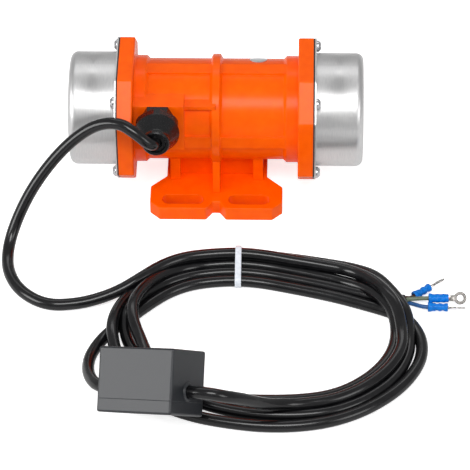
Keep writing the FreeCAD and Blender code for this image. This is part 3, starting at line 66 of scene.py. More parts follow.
toward = Vector((
    math.sin(azimuth) * math.cos(elevation), -math.cos(azimuth) * math.cos(elevation), math.sin(elevation),
))
level = Vector((math.cos(azimuth), math.sin(azimuth), 0.0))
upward = toward.cross(level)
right = level * math.cos(roll) - upward * math.sin(roll)
above = level * math.sin(roll) + upward * math.cos(roll)

lens = bpy.data.cameras.new("product_camera")
lens.lens = FOCAL_LENGTH
lens.clip_end = FAR_CLIP
camera = bpy.data.objects.new("product_camera", lens)
bpy.context.scene.collection.objects.link(camera)
turned = Matrix((right, above, toward)).transposed().to_4x4()
camera.matrix_world = Matrix.Translation(AIM + toward * DISTANCE) @ turned
bpy.context.scene.camera = camera
bpy.context.scene.view_settings.view_transform = "Standard"
print("camera at", [round(value, 3) for value in camera.matrix_world.translation])

# %% [markdown]
# ## The two cords
#
# One cord runs from the gland to the capacitor box, and the other from the box to the ring terminals. Both lie in
# one coil in front of the motor. A cord could be a mesh tube, or a bevelled curve on a Bezier or NURBS spline. A
# NURBS spline of order 3 is smooth everywhere and needs few points, so each turn can be moved by hand.
#
# The coil is laid out like lanes on a running track. Each station is a point on the innermost lane, and a turn is
# given by its lane and its level at each station: a level of 1 is one cord higher, where it passes over another.

# %% Stations of the coil, clockwise from the cable tie
CORD_DIAMETER = 8.2
LANE = 8.3                     # one cord and a hair of room
FLOOR_LEVEL = 4.15             # centre of a cord that lies on the floor

STATIONS = {
    "tie": (16.8, -119.9), "t1": (33.1, -120.7), "t2": (50.8, -125.1), "t3": (69.1, -130.0), "t4": (86.0, -135.1),
    "t5": (102.2, -141.2), "r1": (115.6, -147.3), "r2": (123.2, -157.3), "r3": (124.3, -171.1),
    "r4": (120.8, -186.7), "b1": (111.0, -204.5), "b2": (95.1, -219.5), "b3": (78.5, -228.0), "b4": (59.7, -231.6),
    "b5": (38.8, -232.1), "b6": (19.8, -229.5), "b7": (0.6, -222.6), "l1": (-19.0, -211.4), "l2": (-33.7, -198.7),
    "l3": (-44.7, -185.0), "l4": (-50.6, -170.1), "l5": (-50.9, -155.8), "l6": (-42.8, -141.7),
    "l7": (-30.4, -130.8), "l8": (-15.7, -123.3), "l9": (0.5, -119.9),
}
NAMES = list(STATIONS)


def lane_point(name, lane, level):
    """The point of a lane beside a station, with its side away from the coil's middle as positive."""
    at = NAMES.index(name)
    before = Vector(STATIONS[NAMES[at - 1]])
    after = Vector(STATIONS[NAMES[(at + 1) % len(NAMES)]])
    along = (after - before).normalized()
    outward = Vector((-along.y, along.x))
    spot = Vector(STATIONS[name]) + outward * (lane * LANE)
    return (spot.x, spot.y, FLOOR_LEVEL + level * LANE)


def turn(stretch):
    """Points of one turn, from its lane and level at each station that it passes."""
    return [lane_point(name, lane, level) for name, (lane, level) in stretch.items()]


print("stations", len(STATIONS))

# %% [markdown]
# The cord from the motor leaves the gland, rises in a stiff bow, drops to the floor at the left and comes up on the
# coil, where it lies on the two outer turns. It goes half round the coil and ends in the box. Its points off the
# coil are typed in millimetres. They could come from a simulated cord, but a typed point can be moved on its own.

# %% Route of the motor cord
FROM_GLAND = [
    (-39.5, -52.08, 76.09), (-39.5, -64.83, 78.1), (-44.5, -68.0, 82.4), (-52.5, -66.0, 89.5), (-63.5, -60.0, 94.0),
    (-79.0, -56.0, 89.5), (-95.0, -57.0, 77.5), (-111.0, -61.5, 60.5), (-126.0, -69.0, 40.0), (-137.0, -79.0, 19.0),
    (-142.0, -93.0, 6.5), (-140.5, -112.5, 4.2), (-130.5, -132.0, 4.2), (-112.0, -145.0, 4.2), (-91.0, -143.5, 4.5),
    (-75.0, -138.5, 5.6), (-61.5, -133.5, 8.6), (-48.5, -125.5, 12.4), (-36.0, -114.0, 12.6), (-22.0, -105.8, 12.4),
    (-5.0, -102.0, 12.2),
]
ON_TOP = {
    "tie": (2.35, 1.0), "t1": (2.3, 0.88), "t2": (2.4, 0.78), "t3": (2.6, 0.68), "t4": (2.75, 0.62),
    "t5": (1.8, 1.25), "r1": (0.45, 1.7), "r2": (0.15, 1.5), "r3": (0.35, 0.92), "r4": (0.85, 0.78), "b1": (0.9, 0.62),
    "b2": (0.88, 0.5), "b3": (0.9, 0.45), "b4": (0.92, 0.5),
}
TO_BOX = [
    (48.5, -242.5, 11.5), (37.0, -249.5, 18.5), (24.3, -258.5, 32.0), (11.0, -266.5, 43.0),
    (-1.4, -266.0, 45.5), (-14.7, -260.8, 40.8),
]
motor_route = FROM_GLAND + turn(ON_TOP) + TO_BOX
print("motor cord points", len(motor_route))

# %% [markdown]
# The supply cord leaves the box's other end, passes under the turns at the left and goes round a little over three
# times. Its turns aren't equal: the first is the widest at the right, the next two nest inside it, and they swap
# lanes where they cross behind the box. Only the tie holds them side by side. One spiral could stand for them all,
# but a hand-wound coil is never so even, so each turn has its own lanes and levels.

# %% Route of the supply cord
FROM_BOX = [
    (-58.0, -243.9, 25.7), (-70.4, -239.1, 21.4), (-79.5, -219.0, 12.5), (-80.5, -198.0, 7.0), (-75.0, -180.5, 4.2),
    (-67.0, -168.5, 4.2), (-57.5, -159.0, 4.2),
]
WIDE_TURN = {
    "l6": (-0.1, 0), "l7": (-0.05, 0), "l8": (0, 0), "l9": (0, 0), "tie": (0, 0.13), "t1": (0, 0), "t2": (0, 0),
    "t3": (0, 0), "t4": (0, 0), "t5": (0, 0), "r1": (0.1, 0), "r2": (1.05, 0), "r3": (1.98, 0), "r4": (2.5, 0),
    "b1": (2.55, 0), "b2": (2.55, 0), "b3": (2.65, 0), "b4": (2.8, 0), "b5": (2.87, 0), "b6": (2.9, 0),
    "b7": (3.25, 0), "l1": (3.5, 0),
}
OUTER_TURN = {
    "l2": (3.1, 0), "l3": (2.45, 0.45), "l4": (2.0, 0.95), "l5": (1.55, 0.7), "l6": (1.8, 0.15), "l7": (2.3, 0),
    "l8": (2.75, 0), "l9": (2.98, 0), "tie": (3, 0.13), "t1": (3.15, 0), "t2": (3.35, 0), "t3": (3.5, 0),
    "t4": (3.5, 0.15), "t5": (2.6, 0.95), "r1": (1.3, 1.0), "r2": (0.95, 0.85), "r3": (1.0, 0.15), "r4": (1.35, 0),
    "b1": (1.6, 0), "b2": (1.65, 0), "b3": (1.7, 0), "b4": (1.68, 0), "b5": (1.62, 0), "b6": (1.6, 0), "b7": (1.8, 0.1),
    "l1": (2.0, 0.7),
}
MIDDLE_TURN = {
    "l2": (1.0, 1.0), "l3": (0.2, 1.05), "l4": (0.2, 1.45), "l5": (0.28, 1.62), "l6": (0.7, 1.25), "l7": (1.4, 0.7),
    "l8": (1.85, 0.15), "l9": (1.98, 0), "tie": (2, 0.13), "t1": (1.98, 0), "t2": (1.95, 0), "t3": (1.95, 0),
    "t4": (1.9, 0), "t5": (1.3, 0.5), "r1": (0.3, 0.82), "r2": (-0.05, 0.6), "r3": (-0.05, 0.08), "r4": (0, 0),
    "b1": (0, 0), "b2": (0, 0), "b3": (0, 0), "b4": (0, 0), "b5": (0.05, 0), "b6": (0.3, 0), "b7": (0.6, 0),
    "l1": (0.75, 0),
}
INNER_TURN = {
    "l2": (0.85, 0), "l3": (0.95, 0), "l4": (0.95, 0.3), "l5": (0.68, 0.78), "l6": (0.85, 0.35), "l7": (0.92, 0.05),
    "l8": (0.98, 0), "l9": (1, 0), "tie": (1, 0.13), "t1": (1, 0), "t2": (1, 0), "t3": (1, 0), "t4": (0.98, 0),
    "t5": (1.05, 0),
}
TO_TERMINALS = [(115.5, -136.0, 4.2), (122.0, -136.6, 4.2), (129.8, -137.2, 4.2)]
supply_route = [
    *FROM_BOX, *turn(WIDE_TURN), *turn(OUTER_TURN), *turn(MIDDLE_TURN), *turn(INNER_TURN), *TO_TERMINALS,
]
print("supply cord points", len(supply_route))

# %% [markdown]
# A curve gets its round section from its bevel depth times the radius of its points. Blender's box round a curve
# reaches one point radius past the points, so the cord's radius is set there and the depth is 1. The spline's order
# and its clamped ends are set after the points are there, because before that Blender has nothing to clamp.

# %% Make the cords
def make_cord(name, route):
    """A round cord on one open NURBS spline with these control points, in millimetres."""
    line = bpy.data.curves.new(name, "CURVE")
    line.dimensions = "3D"
    spline = line.splines.new("NURBS")
    spline.points.add(len(route) - 1)
    for point, place in zip(spline.points, route):
        point.co = (place[0] * MM, place[1] * MM, place[2] * MM, 1.0)
        point.radius = CORD_DIAMETER / 2 * MM
    spline.order_u = 3
    spline.use_endpoint_u = True
    line.resolution_u = 8
    line.bevel_depth = 1.0
    line.bevel_resolution = 7
    line.use_fill_caps = True
    cord = bpy.data.objects.new(name, line)
    bpy.context.scene.collection.objects.link(cord)
    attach(cord, "frame")
    return cord


motor_lead = make_cord("motor_cord_sheath", motor_route)
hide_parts("motor_cord", "motor_cord_end", "cord_coil")
supply_lead = make_cord("supply_cord_sheath", supply_route)
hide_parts("supply_cord_start", "supply_cord_end", "cord_coil")

# %% [markdown]
# ## Small pieces
#
# The tie and the terminals are built as bmeshes. Moulded and stamped pieces have no knife edges, so their sharp
# edges get a small bevel. That could be a Bevel modifier, but then it would round the edges of every part of a piece
# by the same size, and here each block has its own.

# %% Helpers for the small pieces
SMOOTH_BELOW = math.radians(35)
ROUNDED_ABOVE = math.radians(50)


def to_object(name, bm, slot, *replaced):
    """Turns a bmesh into a smooth-shaded piece that stays with the motor's frame."""
    bmesh.ops.recalc_face_normals(bm, faces=bm.faces)
    mesh = bpy.data.meshes.new(name)
    bm.to_mesh(mesh)
    bm.free()
    mesh.shade_smooth()
    mesh.set_sharp_from_angle(angle=SMOOTH_BELOW)
    piece = bpy.data.objects.new(name, mesh)
    bpy.context.scene.collection.objects.link(piece)
    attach(piece, "frame")
    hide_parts(*replaced)
    print(name, "faces", len(mesh.polygons))
    return piece


def round_edges(bm, faces, offset):
    """Rounds the sharp edges of these faces by an offset in millimetres."""
    edges = {edge for face in faces for edge in face.edges if edge.calc_face_angle(0.0) > ROUNDED_ABOVE}
    bmesh.ops.bevel(bm, geom=list(edges), offset=offset * MM, offset_type="OFFSET", segments=2, profile=0.5,
                    affect="EDGES", clamp_overlap=True, material=-1)


def block(bm, centre, size, rounding):
    """A box with rounded edges, its centre and size in millimetres."""
    made = bmesh.ops.create_cube(bm, size=1.0)
    bmesh.ops.scale(bm, verts=made["verts"], vec=Vector(size) * MM)
    bmesh.ops.translate(bm, verts=made["verts"], vec=Vector(centre) * MM)
    round_edges(bm, {face for vert in made["verts"] for face in vert.link_faces}, rounding)


print("small-piece helpers ready")

# %% [markdown]
# ### The cable tie
#
# A nylon tie holds the turns together. Its strap is pulled tight, so it takes the shape of a band stretched round the
# cords. It could be a hand-drawn curve, but a convex hull is just that band: a circle goes round every cord in two
# planes, the hull closes round them all, its two flat ends come off, and the skin that is left gets its thickness.
# The head sits at the far side with the cut end of the strap standing out of it.

# %% Make the cable tie
TIE_WIDTH = 4.2
STRAP_THICKNESS = 0.95
STRAP_ROUNDING = 0.2
STRAND_ROUND = 4.2             # the strap's inside lies this far from each cord's centre
STRAND_SEGMENTS = 56
FACES_ALONG_X = 0.9            # a face of the hull whose normal has more X than this is one of its flat ends
HEAD_SIZE = (5.8, 4.0, 4.0)
HEAD_ROUNDING = 0.45
HEAD_FLOOR = 0.7               # the head's underside above the floor
SUNK = 0.3                     # how far the head is sunk in the strap
CUT_END = (TIE_WIDTH, 1.6, 1.0)
CUT_END_ROUNDING = 0.15

held = [lane_point("tie", *route["tie"]) for route in (WIDE_TURN, INNER_TURN, MIDDLE_TURN, OUTER_TURN, ON_TOP)]
tie_x = held[0][0]
bm = bmesh.new()
for side in (-0.5, 0.5):
    for centre in held:
        place = Matrix.Translation(Vector((tie_x + side * TIE_WIDTH, centre[1], centre[2])) * MM)
        bmesh.ops.create_circle(bm, cap_ends=False, segments=STRAND_SEGMENTS, radius=STRAND_ROUND * MM,
                                matrix=place @ Matrix.Rotation(math.radians(90), 4, "Y"))
hull = bmesh.ops.convex_hull(bm, input=bm.verts[:], use_existing_faces=False)
spare = {item for item in hull["geom_interior"] + hull["geom_unused"] if isinstance(item, bmesh.types.BMVert)}
bmesh.ops.delete(bm, geom=list(spare), context="VERTS")
bm.normal_update()
ends = [face for face in bm.faces if abs(face.normal.x) > FACES_ALONG_X]
bmesh.ops.delete(bm, geom=ends, context="FACES")
bmesh.ops.delete(bm, geom=[edge for edge in bm.edges if not edge.link_faces], context="EDGES")
bmesh.ops.recalc_face_normals(bm, faces=bm.faces)
bmesh.ops.solidify(bm, geom=bm.faces[:], thickness=-STRAP_THICKNESS * MM)
bmesh.ops.recalc_face_normals(bm, faces=bm.faces)
round_edges(bm, bm.faces[:], STRAP_ROUNDING)
far_side = max(centre[1] for centre in held) + STRAND_ROUND + STRAP_THICKNESS
head_height = HEAD_SIZE[2] / 2 + HEAD_FLOOR
block(bm, (tie_x, far_side + HEAD_SIZE[1] / 2 - SUNK, head_height), HEAD_SIZE, HEAD_ROUNDING)
block(bm, (tie_x, far_side + HEAD_SIZE[1] + SUNK, head_height), CUT_END, CUT_END_ROUNDING)
tie = to_object("nylon_cable_tie", bm, "white_nylon", "cable_tie")

# %% [markdown]
# ### Sleeves and ring terminals
#
# Each core ends in a ring terminal: a rolled barrel crimped on the wire, a neck and a flat eye, with a vinyl sleeve
# over the barrel. The crimping tool leaves two dents in the sleeve. A sleeve could be a plain tube, but here its wall
# is drawn as a profile, spun round the wire, and its vertices are pressed in at the dents. Every piece is made along
# X at the origin and then laid on its core, which keeps the profiles easy to read.

# %% Make the sleeves, rings and wire ends
TERMINALS = {                  # where a core's sleeve starts, a point that it heads for, and its roll in degrees
    "brown": ((136.1, -131.6, 3.0), (148.8, -122.1, 4.3), -43),
    "green": ((145.7, -136.9, 6.4), (159.6, -136.6, 6.4), 47),
    "blue": ((145.2, -142.1, 3.4), (159.1, -142.5, 3.4), -43),
}
SLEEVE_LENGTH = 13.5
BARREL_LENGTH = 6.0
BARREL_SETBACK = 0.4           # the barrel's mouth stays this far inside the sleeve's end
SEAT = SLEEVE_LENGTH - BARREL_LENGTH - BARREL_SETBACK
EYE_CENTRE = 14.2              # from the barrel's start
DENTS = (6.2, 10.2)            # from the sleeve's start
DENT_LENGTH = 1.0
DENT_DEPTH = 0.22              # as a share of the sleeve's thickness
DENT_BULGE = 0.4               # what of it goes into the width
NECK_START, NECK_END = (5.2, 3.4, 2.2), (10.8, 4.4, 0.78)    # distance, width and thickness
NECK_ROUNDING = 0.2
SLEEVE_STEPS, BARREL_STEPS, EYE_STEPS, WIRE_STEPS = 40, 32, 48, 24
MERGED = 0.001                 # the wire's end points lie on its axis, and are merged within this
SLEEVE_WALL = (
    [(0.0, 2.4), (0.0, 3.1), (0.4, 3.3), (1.8, 3.3), (2.6, 3.0)] + [(3.2 + 0.6 * step, 2.8) for step in range(17)]
    + [(13.3, 2.75), (13.5, 2.6), (13.5, 2.05), (3.4, 2.05), (2.2, 2.4)]
)
BARREL_WALL = [(0.0, 1.3), (0.0, 1.75), (0.25, 1.9), (5.75, 1.9), (6.0, 1.75), (6.0, 1.3)]
EYE_SECTION = [
    (0.28, 2.2), (0.4, 2.32), (0.4, 4.18), (0.28, 4.3), (-0.28, 4.3), (-0.4, 4.18), (-0.4, 2.32), (-0.28, 2.2),
]
WIRE = [(-0.6, 0.0), (-0.6, 1.1), (6.9, 1.1), (7.2, 0.8), (7.2, 0.0)]


def spun(bm, outline, across, axis, steps, closed=True):
    """Spins an outline of (along, across) pairs in millimetres about an axis, and returns its new vertices."""
    before = set(bm.verts)
    points = [bm.verts.new((Vector(axis) * one + Vector(across) * two) * MM) for one, two in outline]
    following = points[1:] + points[:1] if closed else points[1:]
    edges = [bm.edges.new(pair) for pair in zip(points, following)]
    bmesh.ops.spin(bm, geom=points + edges, cent=(0, 0, 0), axis=axis, dvec=(0, 0, 0), angle=math.tau, steps=steps,
                   use_merge=True, use_duplicate=False)
    return [vert for vert in bm.verts if vert not in before]


def laid(start, end, roll, ahead):
    """The matrix that lays a piece made along X from start toward end, some millimetres ahead, with its roll."""
    way = (Vector(end) - Vector(start)).normalized()
    facing = Vector((1, 0, 0)).rotation_difference(way).to_matrix().to_4x4()
    rolled = Matrix.Rotation(math.radians(roll), 4, "X")
    return Matrix.Translation((Vector(start) + way * ahead) * MM) @ facing @ rolled


def make_sleeve(bm, start, end, roll):
    """A vinyl sleeve with a wider mouth and the crimping tool's dents."""
    wall = spun(bm, SLEEVE_WALL, (0, 0, 1), (1, 0, 0), SLEEVE_STEPS)
    for vert in wall:
        pressed = max(math.exp(-(((vert.co.x / MM) - dent) / DENT_LENGTH) ** 2) for dent in DENTS)
        vert.co.z *= 1 - DENT_DEPTH * pressed
        vert.co.y *= 1 + DENT_BULGE * DENT_DEPTH * pressed
    bmesh.ops.transform(bm, matrix=laid(start, end, roll, 0.0), verts=wall)


def make_ring(bm, start, end, roll):
    """A ring terminal: a barrel, a flat eye, and the neck that tapers from one to the other."""
    before = set(bm.verts)
    spun(bm, BARREL_WALL, (0, 0, 1), (1, 0, 0), BARREL_STEPS)
    eye = spun(bm, EYE_SECTION, (1, 0, 0), (0, 0, 1), EYE_STEPS)
    bmesh.ops.translate(bm, verts=eye, vec=Vector((EYE_CENTRE * MM, 0, 0)))
    neck = bmesh.ops.create_cube(bm, size=1.0)["verts"]
    for vert in neck:
        distance, width, thickness = NECK_END if vert.co.x > 0 else NECK_START
        vert.co.x = distance * MM
        vert.co.y *= width * MM
        vert.co.z *= thickness * MM
    round_edges(bm, {face for vert in neck for face in vert.link_faces}, NECK_ROUNDING)
    new = [vert for vert in bm.verts if vert not in before]
    bmesh.ops.transform(bm, matrix=laid(start, end, roll, SEAT), verts=new)


def make_wire_end(bm, start, end, roll):
    """The bare wire in the barrel, which shows at its front end."""
    wire = spun(bm, WIRE, (0, 0, 1), (1, 0, 0), WIRE_STEPS, closed=False)
    bmesh.ops.remove_doubles(bm, verts=wire, dist=MERGED * MM)
    wire = [vert for vert in wire if vert.is_valid]
    bmesh.ops.transform(bm, matrix=laid(start, end, roll, SEAT), verts=wire)


pieces = {}
for name, maker, slot, node in (
    ("crimped_sleeves", make_sleeve, "blue_sleeve", "terminal_sleeves"),
    ("ring_terminals", make_ring, "tinned", "terminal_rings"),
    ("crimped_wire_ends", make_wire_end, "copper_winding", "terminal_rings"),
):
    bm = bmesh.new()
    for spots in TERMINALS.values():
        maker(bm, *spots)
    pieces[name] = to_object(name, bm, slot, node)

# %% [markdown]
# ## Floor, world and lamps
#
# The object lies on a white sweep. A plain white plane would turn grey at its far side, so the plane and the world
# add plain white for the rays of the camera and a share of it for those of reflections, while every other ray sees a
# quieter world. The plane keeps a share of real diffuse light, and that share shows the object's shadow.

# %% Floor
FLOOR_SIZE = 6.0
FLOOR_TONE = 0.80              # what the plane reflects of the lamps
FLOOR_GLOW = 0.70              # what it adds for the camera
WHITE = (1.0, 1.0, 1.0, 1.0)
MIRRORED = 0.15                # share of the white that reflections see, as a studio is darker than its paper


def seen_directly(nodes, links):
    """1 for rays of the camera and of glass, a share for those of reflections, and 0 for the rest."""
    path = nodes.new("ShaderNodeLightPath")
    share = nodes.new("ShaderNodeMath")
    share.operation = "MULTIPLY"
    share.inputs[1].default_value = MIRRORED
    links.new(path.outputs["Is Glossy Ray"], share.inputs[0])
    first = nodes.new("ShaderNodeMath")
    first.operation = "MAXIMUM"
    links.new(path.outputs["Is Camera Ray"], first.inputs[0])
    links.new(share.outputs[0], first.inputs[1])
    second = nodes.new("ShaderNodeMath")
    second.operation = "MAXIMUM"
    links.new(first.outputs[0], second.inputs[0])
    links.new(path.outputs["Is Transmission Ray"], second.inputs[1])
    return second.outputs[0]


bm = bmesh.new()
bmesh.ops.create_grid(bm, x_segments=1, y_segments=1, size=FLOOR_SIZE / 2)
floor_mesh = bpy.data.meshes.new("floor")
bm.to_mesh(floor_mesh)
bm.free()
floor = bpy.data.objects.new("floor", floor_mesh)
bpy.context.scene.collection.objects.link(floor)

floor_paint = bpy.data.materials.new("white_sweep")
floor_paint.use_nodes = True
nodes = floor_paint.node_tree.nodes
links = floor_paint.node_tree.links
nodes.clear()
matte = nodes.new("ShaderNodeBsdfDiffuse")
matte.inputs["Color"].default_value = (FLOOR_TONE, FLOOR_TONE, FLOOR_TONE, 1.0)
glow = nodes.new("ShaderNodeEmission")
glow.inputs["Color"].default_value = WHITE
strength = nodes.new("ShaderNodeMath")
strength.operation = "MULTIPLY"
strength.inputs[1].default_value = FLOOR_GLOW
links.new(seen_directly(nodes, links), strength.inputs[0])
links.new(strength.outputs[0], glow.inputs["Strength"])
both = nodes.new("ShaderNodeAddShader")
links.new(matte.outputs[0], both.inputs[0])
links.new(glow.outputs[0], both.inputs[1])
surface = nodes.new("ShaderNodeOutputMaterial")
links.new(both.outputs[0], surface.inputs["Surface"])
floor_mesh.materials.append(floor_paint)
print("floor", FLOOR_SIZE, "m")

# %% [markdown]
# The world is the white room round the sweep. It could be a plain grey, but then the picture's background would be
# grey too, so the light path decides: the camera sees full white, and the object gets the room's quieter light.

# %% World
ROOM_LIGHT = 0.35              # what lights the object from all round
world = bpy.data.worlds.new("white_room")
bpy.context.scene.world = world
world.use_nodes = True
nodes = world.node_tree.nodes
links = world.node_tree.links
room = nodes["Background"]
room.inputs["Color"].default_value = WHITE
room_level = nodes.new("ShaderNodeMapRange")
room_level.inputs["To Min"].default_value = ROOM_LIGHT
room_level.inputs["To Max"].default_value = 1.0
links.new(seen_directly(nodes, links), room_level.inputs["Value"])
links.new(room_level.outputs["Result"], room.inputs["Strength"])
print("room light", ROOM_LIGHT)

# %% [markdown]
# Four soft boxes light the object. The key hangs in front and above, and draws the bright band on the covers and the
# highlights on the cords. One stands far to the left, where the box's front face mirrors it, one to the right, and a
# strip behind lights the upper edges. A lamp could be a mesh that glows, but an area lamp gives less noise for the
# same softness.

# %% Lamps
def soft_box(name, place, target, wide, tall, power):
    """An area lamp at a place, turned to its target, all in metres and watts."""
    light = bpy.data.lights.new(name, "AREA")
    light.shape = "RECTANGLE"
    light.size = wide
    light.size_y = tall
    light.energy = power
    lamp = bpy.data.objects.new(name, light)
    bpy.context.scene.collection.objects.link(lamp)
    direction = Vector(target) - Vector(place)
    lamp.location = place
    lamp.rotation_euler = direction.to_track_quat("-Z", "Y").to_euler()
    print(name, "at", round(direction.length, 2), "m")


soft_box("key_box", (0.0, -1.0, 1.45), (0.0, -0.06, 0.03), 0.9, 0.55, 13.0)
soft_box("left_box", (-1.6, -0.85, 0.85), (-0.02, -0.12, 0.04), 1.0, 0.9, 19.0)
soft_box("right_box", (1.3, -1.3, 0.9), (0.0, -0.06, 0.05), 0.7, 0.9, 7.0)
soft_box("back_strip", (0.0, 0.75, 1.2), (0.0, 0.0, 0.05), 1.2, 0.25, 2.2)

# %% [markdown]
# ## Finishes
#
# Every finish starts from the same helper: fine noise in the object's own coordinates moves the colour, the
# roughness and the relief a little, because no real paint, rubber or casting is the same all over. The sizes are in
# millimetres. What is the same all over, such as metal, gloss, anisotropy or subsurface, is set on the shader itself.

# %% The helper for finishes
NOISE_DETAIL = 3.0
RAMP_ENDS = (0.3, 0.7)         # noise seldom leaves this range, so the colours run over it
ROUNDING_SAMPLES = 6


def colour_of(red, green, blue):
    """An opaque colour."""
    return (red, green, blue, 1.0)


def finish(name, low, high, grain, roughness, relief=0.0, metallic=0.0, stretch=(1, 1, 1), soften=0.0, spread=0.06,
           gloss=0.5):
    """A material whose colour runs between low and high in noise of this grain, with relief in millimetres."""
    material = bpy.data.materials.new(name)
    material.use_nodes = True
    nodes = material.node_tree.nodes
    links = material.node_tree.links
    shader = nodes["Principled BSDF"]
    shader.inputs["Metallic"].default_value = metallic
    shader.inputs["Specular IOR Level"].default_value = gloss
    place = nodes.new("ShaderNodeTexCoord")
    mapping = nodes.new("ShaderNodeMapping")
    mapping.inputs["Scale"].default_value = stretch
    links.new(place.outputs["Object"], mapping.inputs["Vector"])
    noise = nodes.new("ShaderNodeTexNoise")
    noise.inputs["Scale"].default_value = 1.0 / (grain * MM)
    noise.inputs["Detail"].default_value = NOISE_DETAIL
    links.new(mapping.outputs["Vector"], noise.inputs["Vector"])
    ramp = nodes.new("ShaderNodeValToRGB")
    for stop, position, colour in zip(ramp.color_ramp.elements, RAMP_ENDS, (low, high)):
        stop.position = position
        stop.color = colour
    links.new(noise.outputs["Fac"], ramp.inputs["Fac"])
    links.new(ramp.outputs["Color"], shader.inputs["Base Color"])
    shine = nodes.new("ShaderNodeMapRange")
    shine.inputs["To Min"].default_value = roughness - spread
    shine.inputs["To Max"].default_value = roughness + spread
    links.new(noise.outputs["Fac"], shine.inputs["Value"])
    links.new(shine.outputs["Result"], shader.inputs["Roughness"])
    bump = nodes.new("ShaderNodeBump")
    bump.inputs["Strength"].default_value = 1.0
    bump.inputs["Distance"].default_value = relief * MM
    links.new(noise.outputs["Fac"], bump.inputs["Height"])
    links.new(bump.outputs["Normal"], shader.inputs["Normal"])
    if soften:
        rounded = nodes.new("ShaderNodeBevel")
        rounded.samples = ROUNDING_SAMPLES
        rounded.inputs["Radius"].default_value = soften * MM
        links.new(rounded.outputs["Normal"], bump.inputs["Normal"])
    return material


def dress(material, *names):
    """Gives a material to CAD nodes, in their objects' own slots."""
    for name in names:
        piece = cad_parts[name]
        if not piece.material_slots:
            piece.data.materials.append(material)
        for place in piece.material_slots:
            place.material = material


print("finish helper ready")

# %% [markdown]
# ### Orange paint
#
# The casting is powder-coated. The powder melts into a glossy skin with a faint orange-peel relief, thick enough to
# round every edge. The rounding could be modelled, but the casting is the CAD's own solid, so the Bevel node turns
# the normals at its edges instead and they catch the light.

# %% Orange paint
orange = finish("orange_powder_coat", colour_of(0.95, 0.100, 0.0), colour_of(1.0, 0.120, 0.0), 7.0, 0.25,
                relief=0.04, soften=0.9, spread=0.04, gloss=0.15)
dress(orange, "housing", "foot")

# %% [markdown]
# ### Steel, zinc and foil
#
# The end covers are drawn from sheet and left bare, with fine lines round the cup from the draw. Stretching the
# noise along the shaft would give lines the wrong way: the lines run round it, so the noise is squeezed along X. The
# rings' tin is darker than fresh plate, because in the photograph they stand out against the white paper.

# %% Bare metals
drawn_steel = finish("drawn_steel", colour_of(0.62, 0.62, 0.625), colour_of(0.71, 0.705, 0.70), 3.0, 0.38,
                     relief=0.01, metallic=1.0, stretch=(9, 0.6, 0.6), soften=0.5)
drawn_steel.node_tree.nodes["Principled BSDF"].inputs["Anisotropic"].default_value = 0.5
dress(drawn_steel, "left_end_cover", "right_end_cover")

stainless = finish("stainless_screws", colour_of(0.52, 0.52, 0.54), colour_of(0.66, 0.66, 0.67), 1.2, 0.26,
                   relief=0.01, metallic=1.0, soften=0.35)
dress(stainless, "cover_screws", "shield_screws", "shaft_circlips", "left_inner_clamp_screw",
      "left_outer_clamp_screw", "right_inner_clamp_screw", "right_outer_clamp_screw")

foil = finish("plain_foil", colour_of(0.62, 0.63, 0.65), colour_of(0.78, 0.79, 0.80), 2.0, 0.30, relief=0.02,
              metallic=1.0)
dress(foil, "foil_disc")

tin = finish("tin_plate", colour_of(0.26, 0.245, 0.23), colour_of(0.46, 0.44, 0.42), 0.8, 0.24, relief=0.01,
             metallic=1.0, soften=0.25)
dress(tin, "terminal_rings")
pieces["ring_terminals"].data.materials.append(tin)

ground_steel = finish("ground_steel", colour_of(0.50, 0.50, 0.51), colour_of(0.58, 0.58, 0.58), 0.6, 0.28,
                      relief=0.006, metallic=1.0, stretch=(6, 1, 1))
dress(ground_steel, "shaft", "weight_keys", "left_bearing_retainer", "right_bearing_retainer",
      "left_bearing_outer_race", "right_bearing_outer_race", "left_bearing_inner_race", "right_bearing_inner_race",
      "left_bearing_balls", "right_bearing_balls")

# %% [markdown]
# ### Castings, laminations and copper inside
#
# Nothing inside shows in the photograph, but the covers come off the real motor, so the inner pieces are finished
# as well: sand-cast weights, die-cast shields and cage, stacked laminations and varnished copper.

# %% Inner metals
cast_iron = finish("cast_weights", colour_of(0.10, 0.10, 0.105), colour_of(0.17, 0.165, 0.16), 1.6, 0.62, relief=0.12,
                   metallic=0.7, soften=0.6)
dress(cast_iron, "left_inner_weight", "left_outer_weight", "right_inner_weight", "right_outer_weight")

die_cast = finish("die_cast_aluminium", colour_of(0.55, 0.55, 0.56), colour_of(0.68, 0.68, 0.69), 2.4, 0.45,
                  relief=0.05, metallic=1.0, soften=0.5)
dress(die_cast, "left_bearing_shield", "right_bearing_shield", "rotor_cage", "weight_spacers")

laminations = finish("stacked_laminations", colour_of(0.16, 0.16, 0.18), colour_of(0.36, 0.36, 0.38), 0.5, 0.42,
                     relief=0.08, metallic=0.9, stretch=(1.0, 0.02, 0.02))
dress(laminations, "stator_core", "rotor_core")

copper = finish("varnished_copper", colour_of(0.34, 0.10, 0.035), colour_of(0.62, 0.24, 0.09), 0.9, 0.30, relief=0.25,
                metallic=0.9, stretch=(0.25, 1, 1))
dress(copper, "stator_windings")

bare_copper = finish("bare_copper", colour_of(0.55, 0.20, 0.10), colour_of(0.80, 0.38, 0.22), 0.5, 0.32, relief=0.08,
                     metallic=1.0, stretch=(0.2, 1, 1))
pieces["crimped_wire_ends"].data.materials.append(bare_copper)

can = finish("capacitor_can", colour_of(0.56, 0.57, 0.60), colour_of(0.66, 0.67, 0.70), 1.5, 0.34, relief=0.02,
             metallic=1.0)
dress(can, "box_capacitor")

# %% [markdown]
# ### Plastics and rubbers
#
# Three blacks lie side by side here. The cord's rubber is the glossiest and shows long thin highlights, the gland's
# nylon is satin, and the box has a fine eroded texture that turns it a soft grey. They could share one black, but
# then the box and the cords would melt together. The tie's nylon lets a little light in.

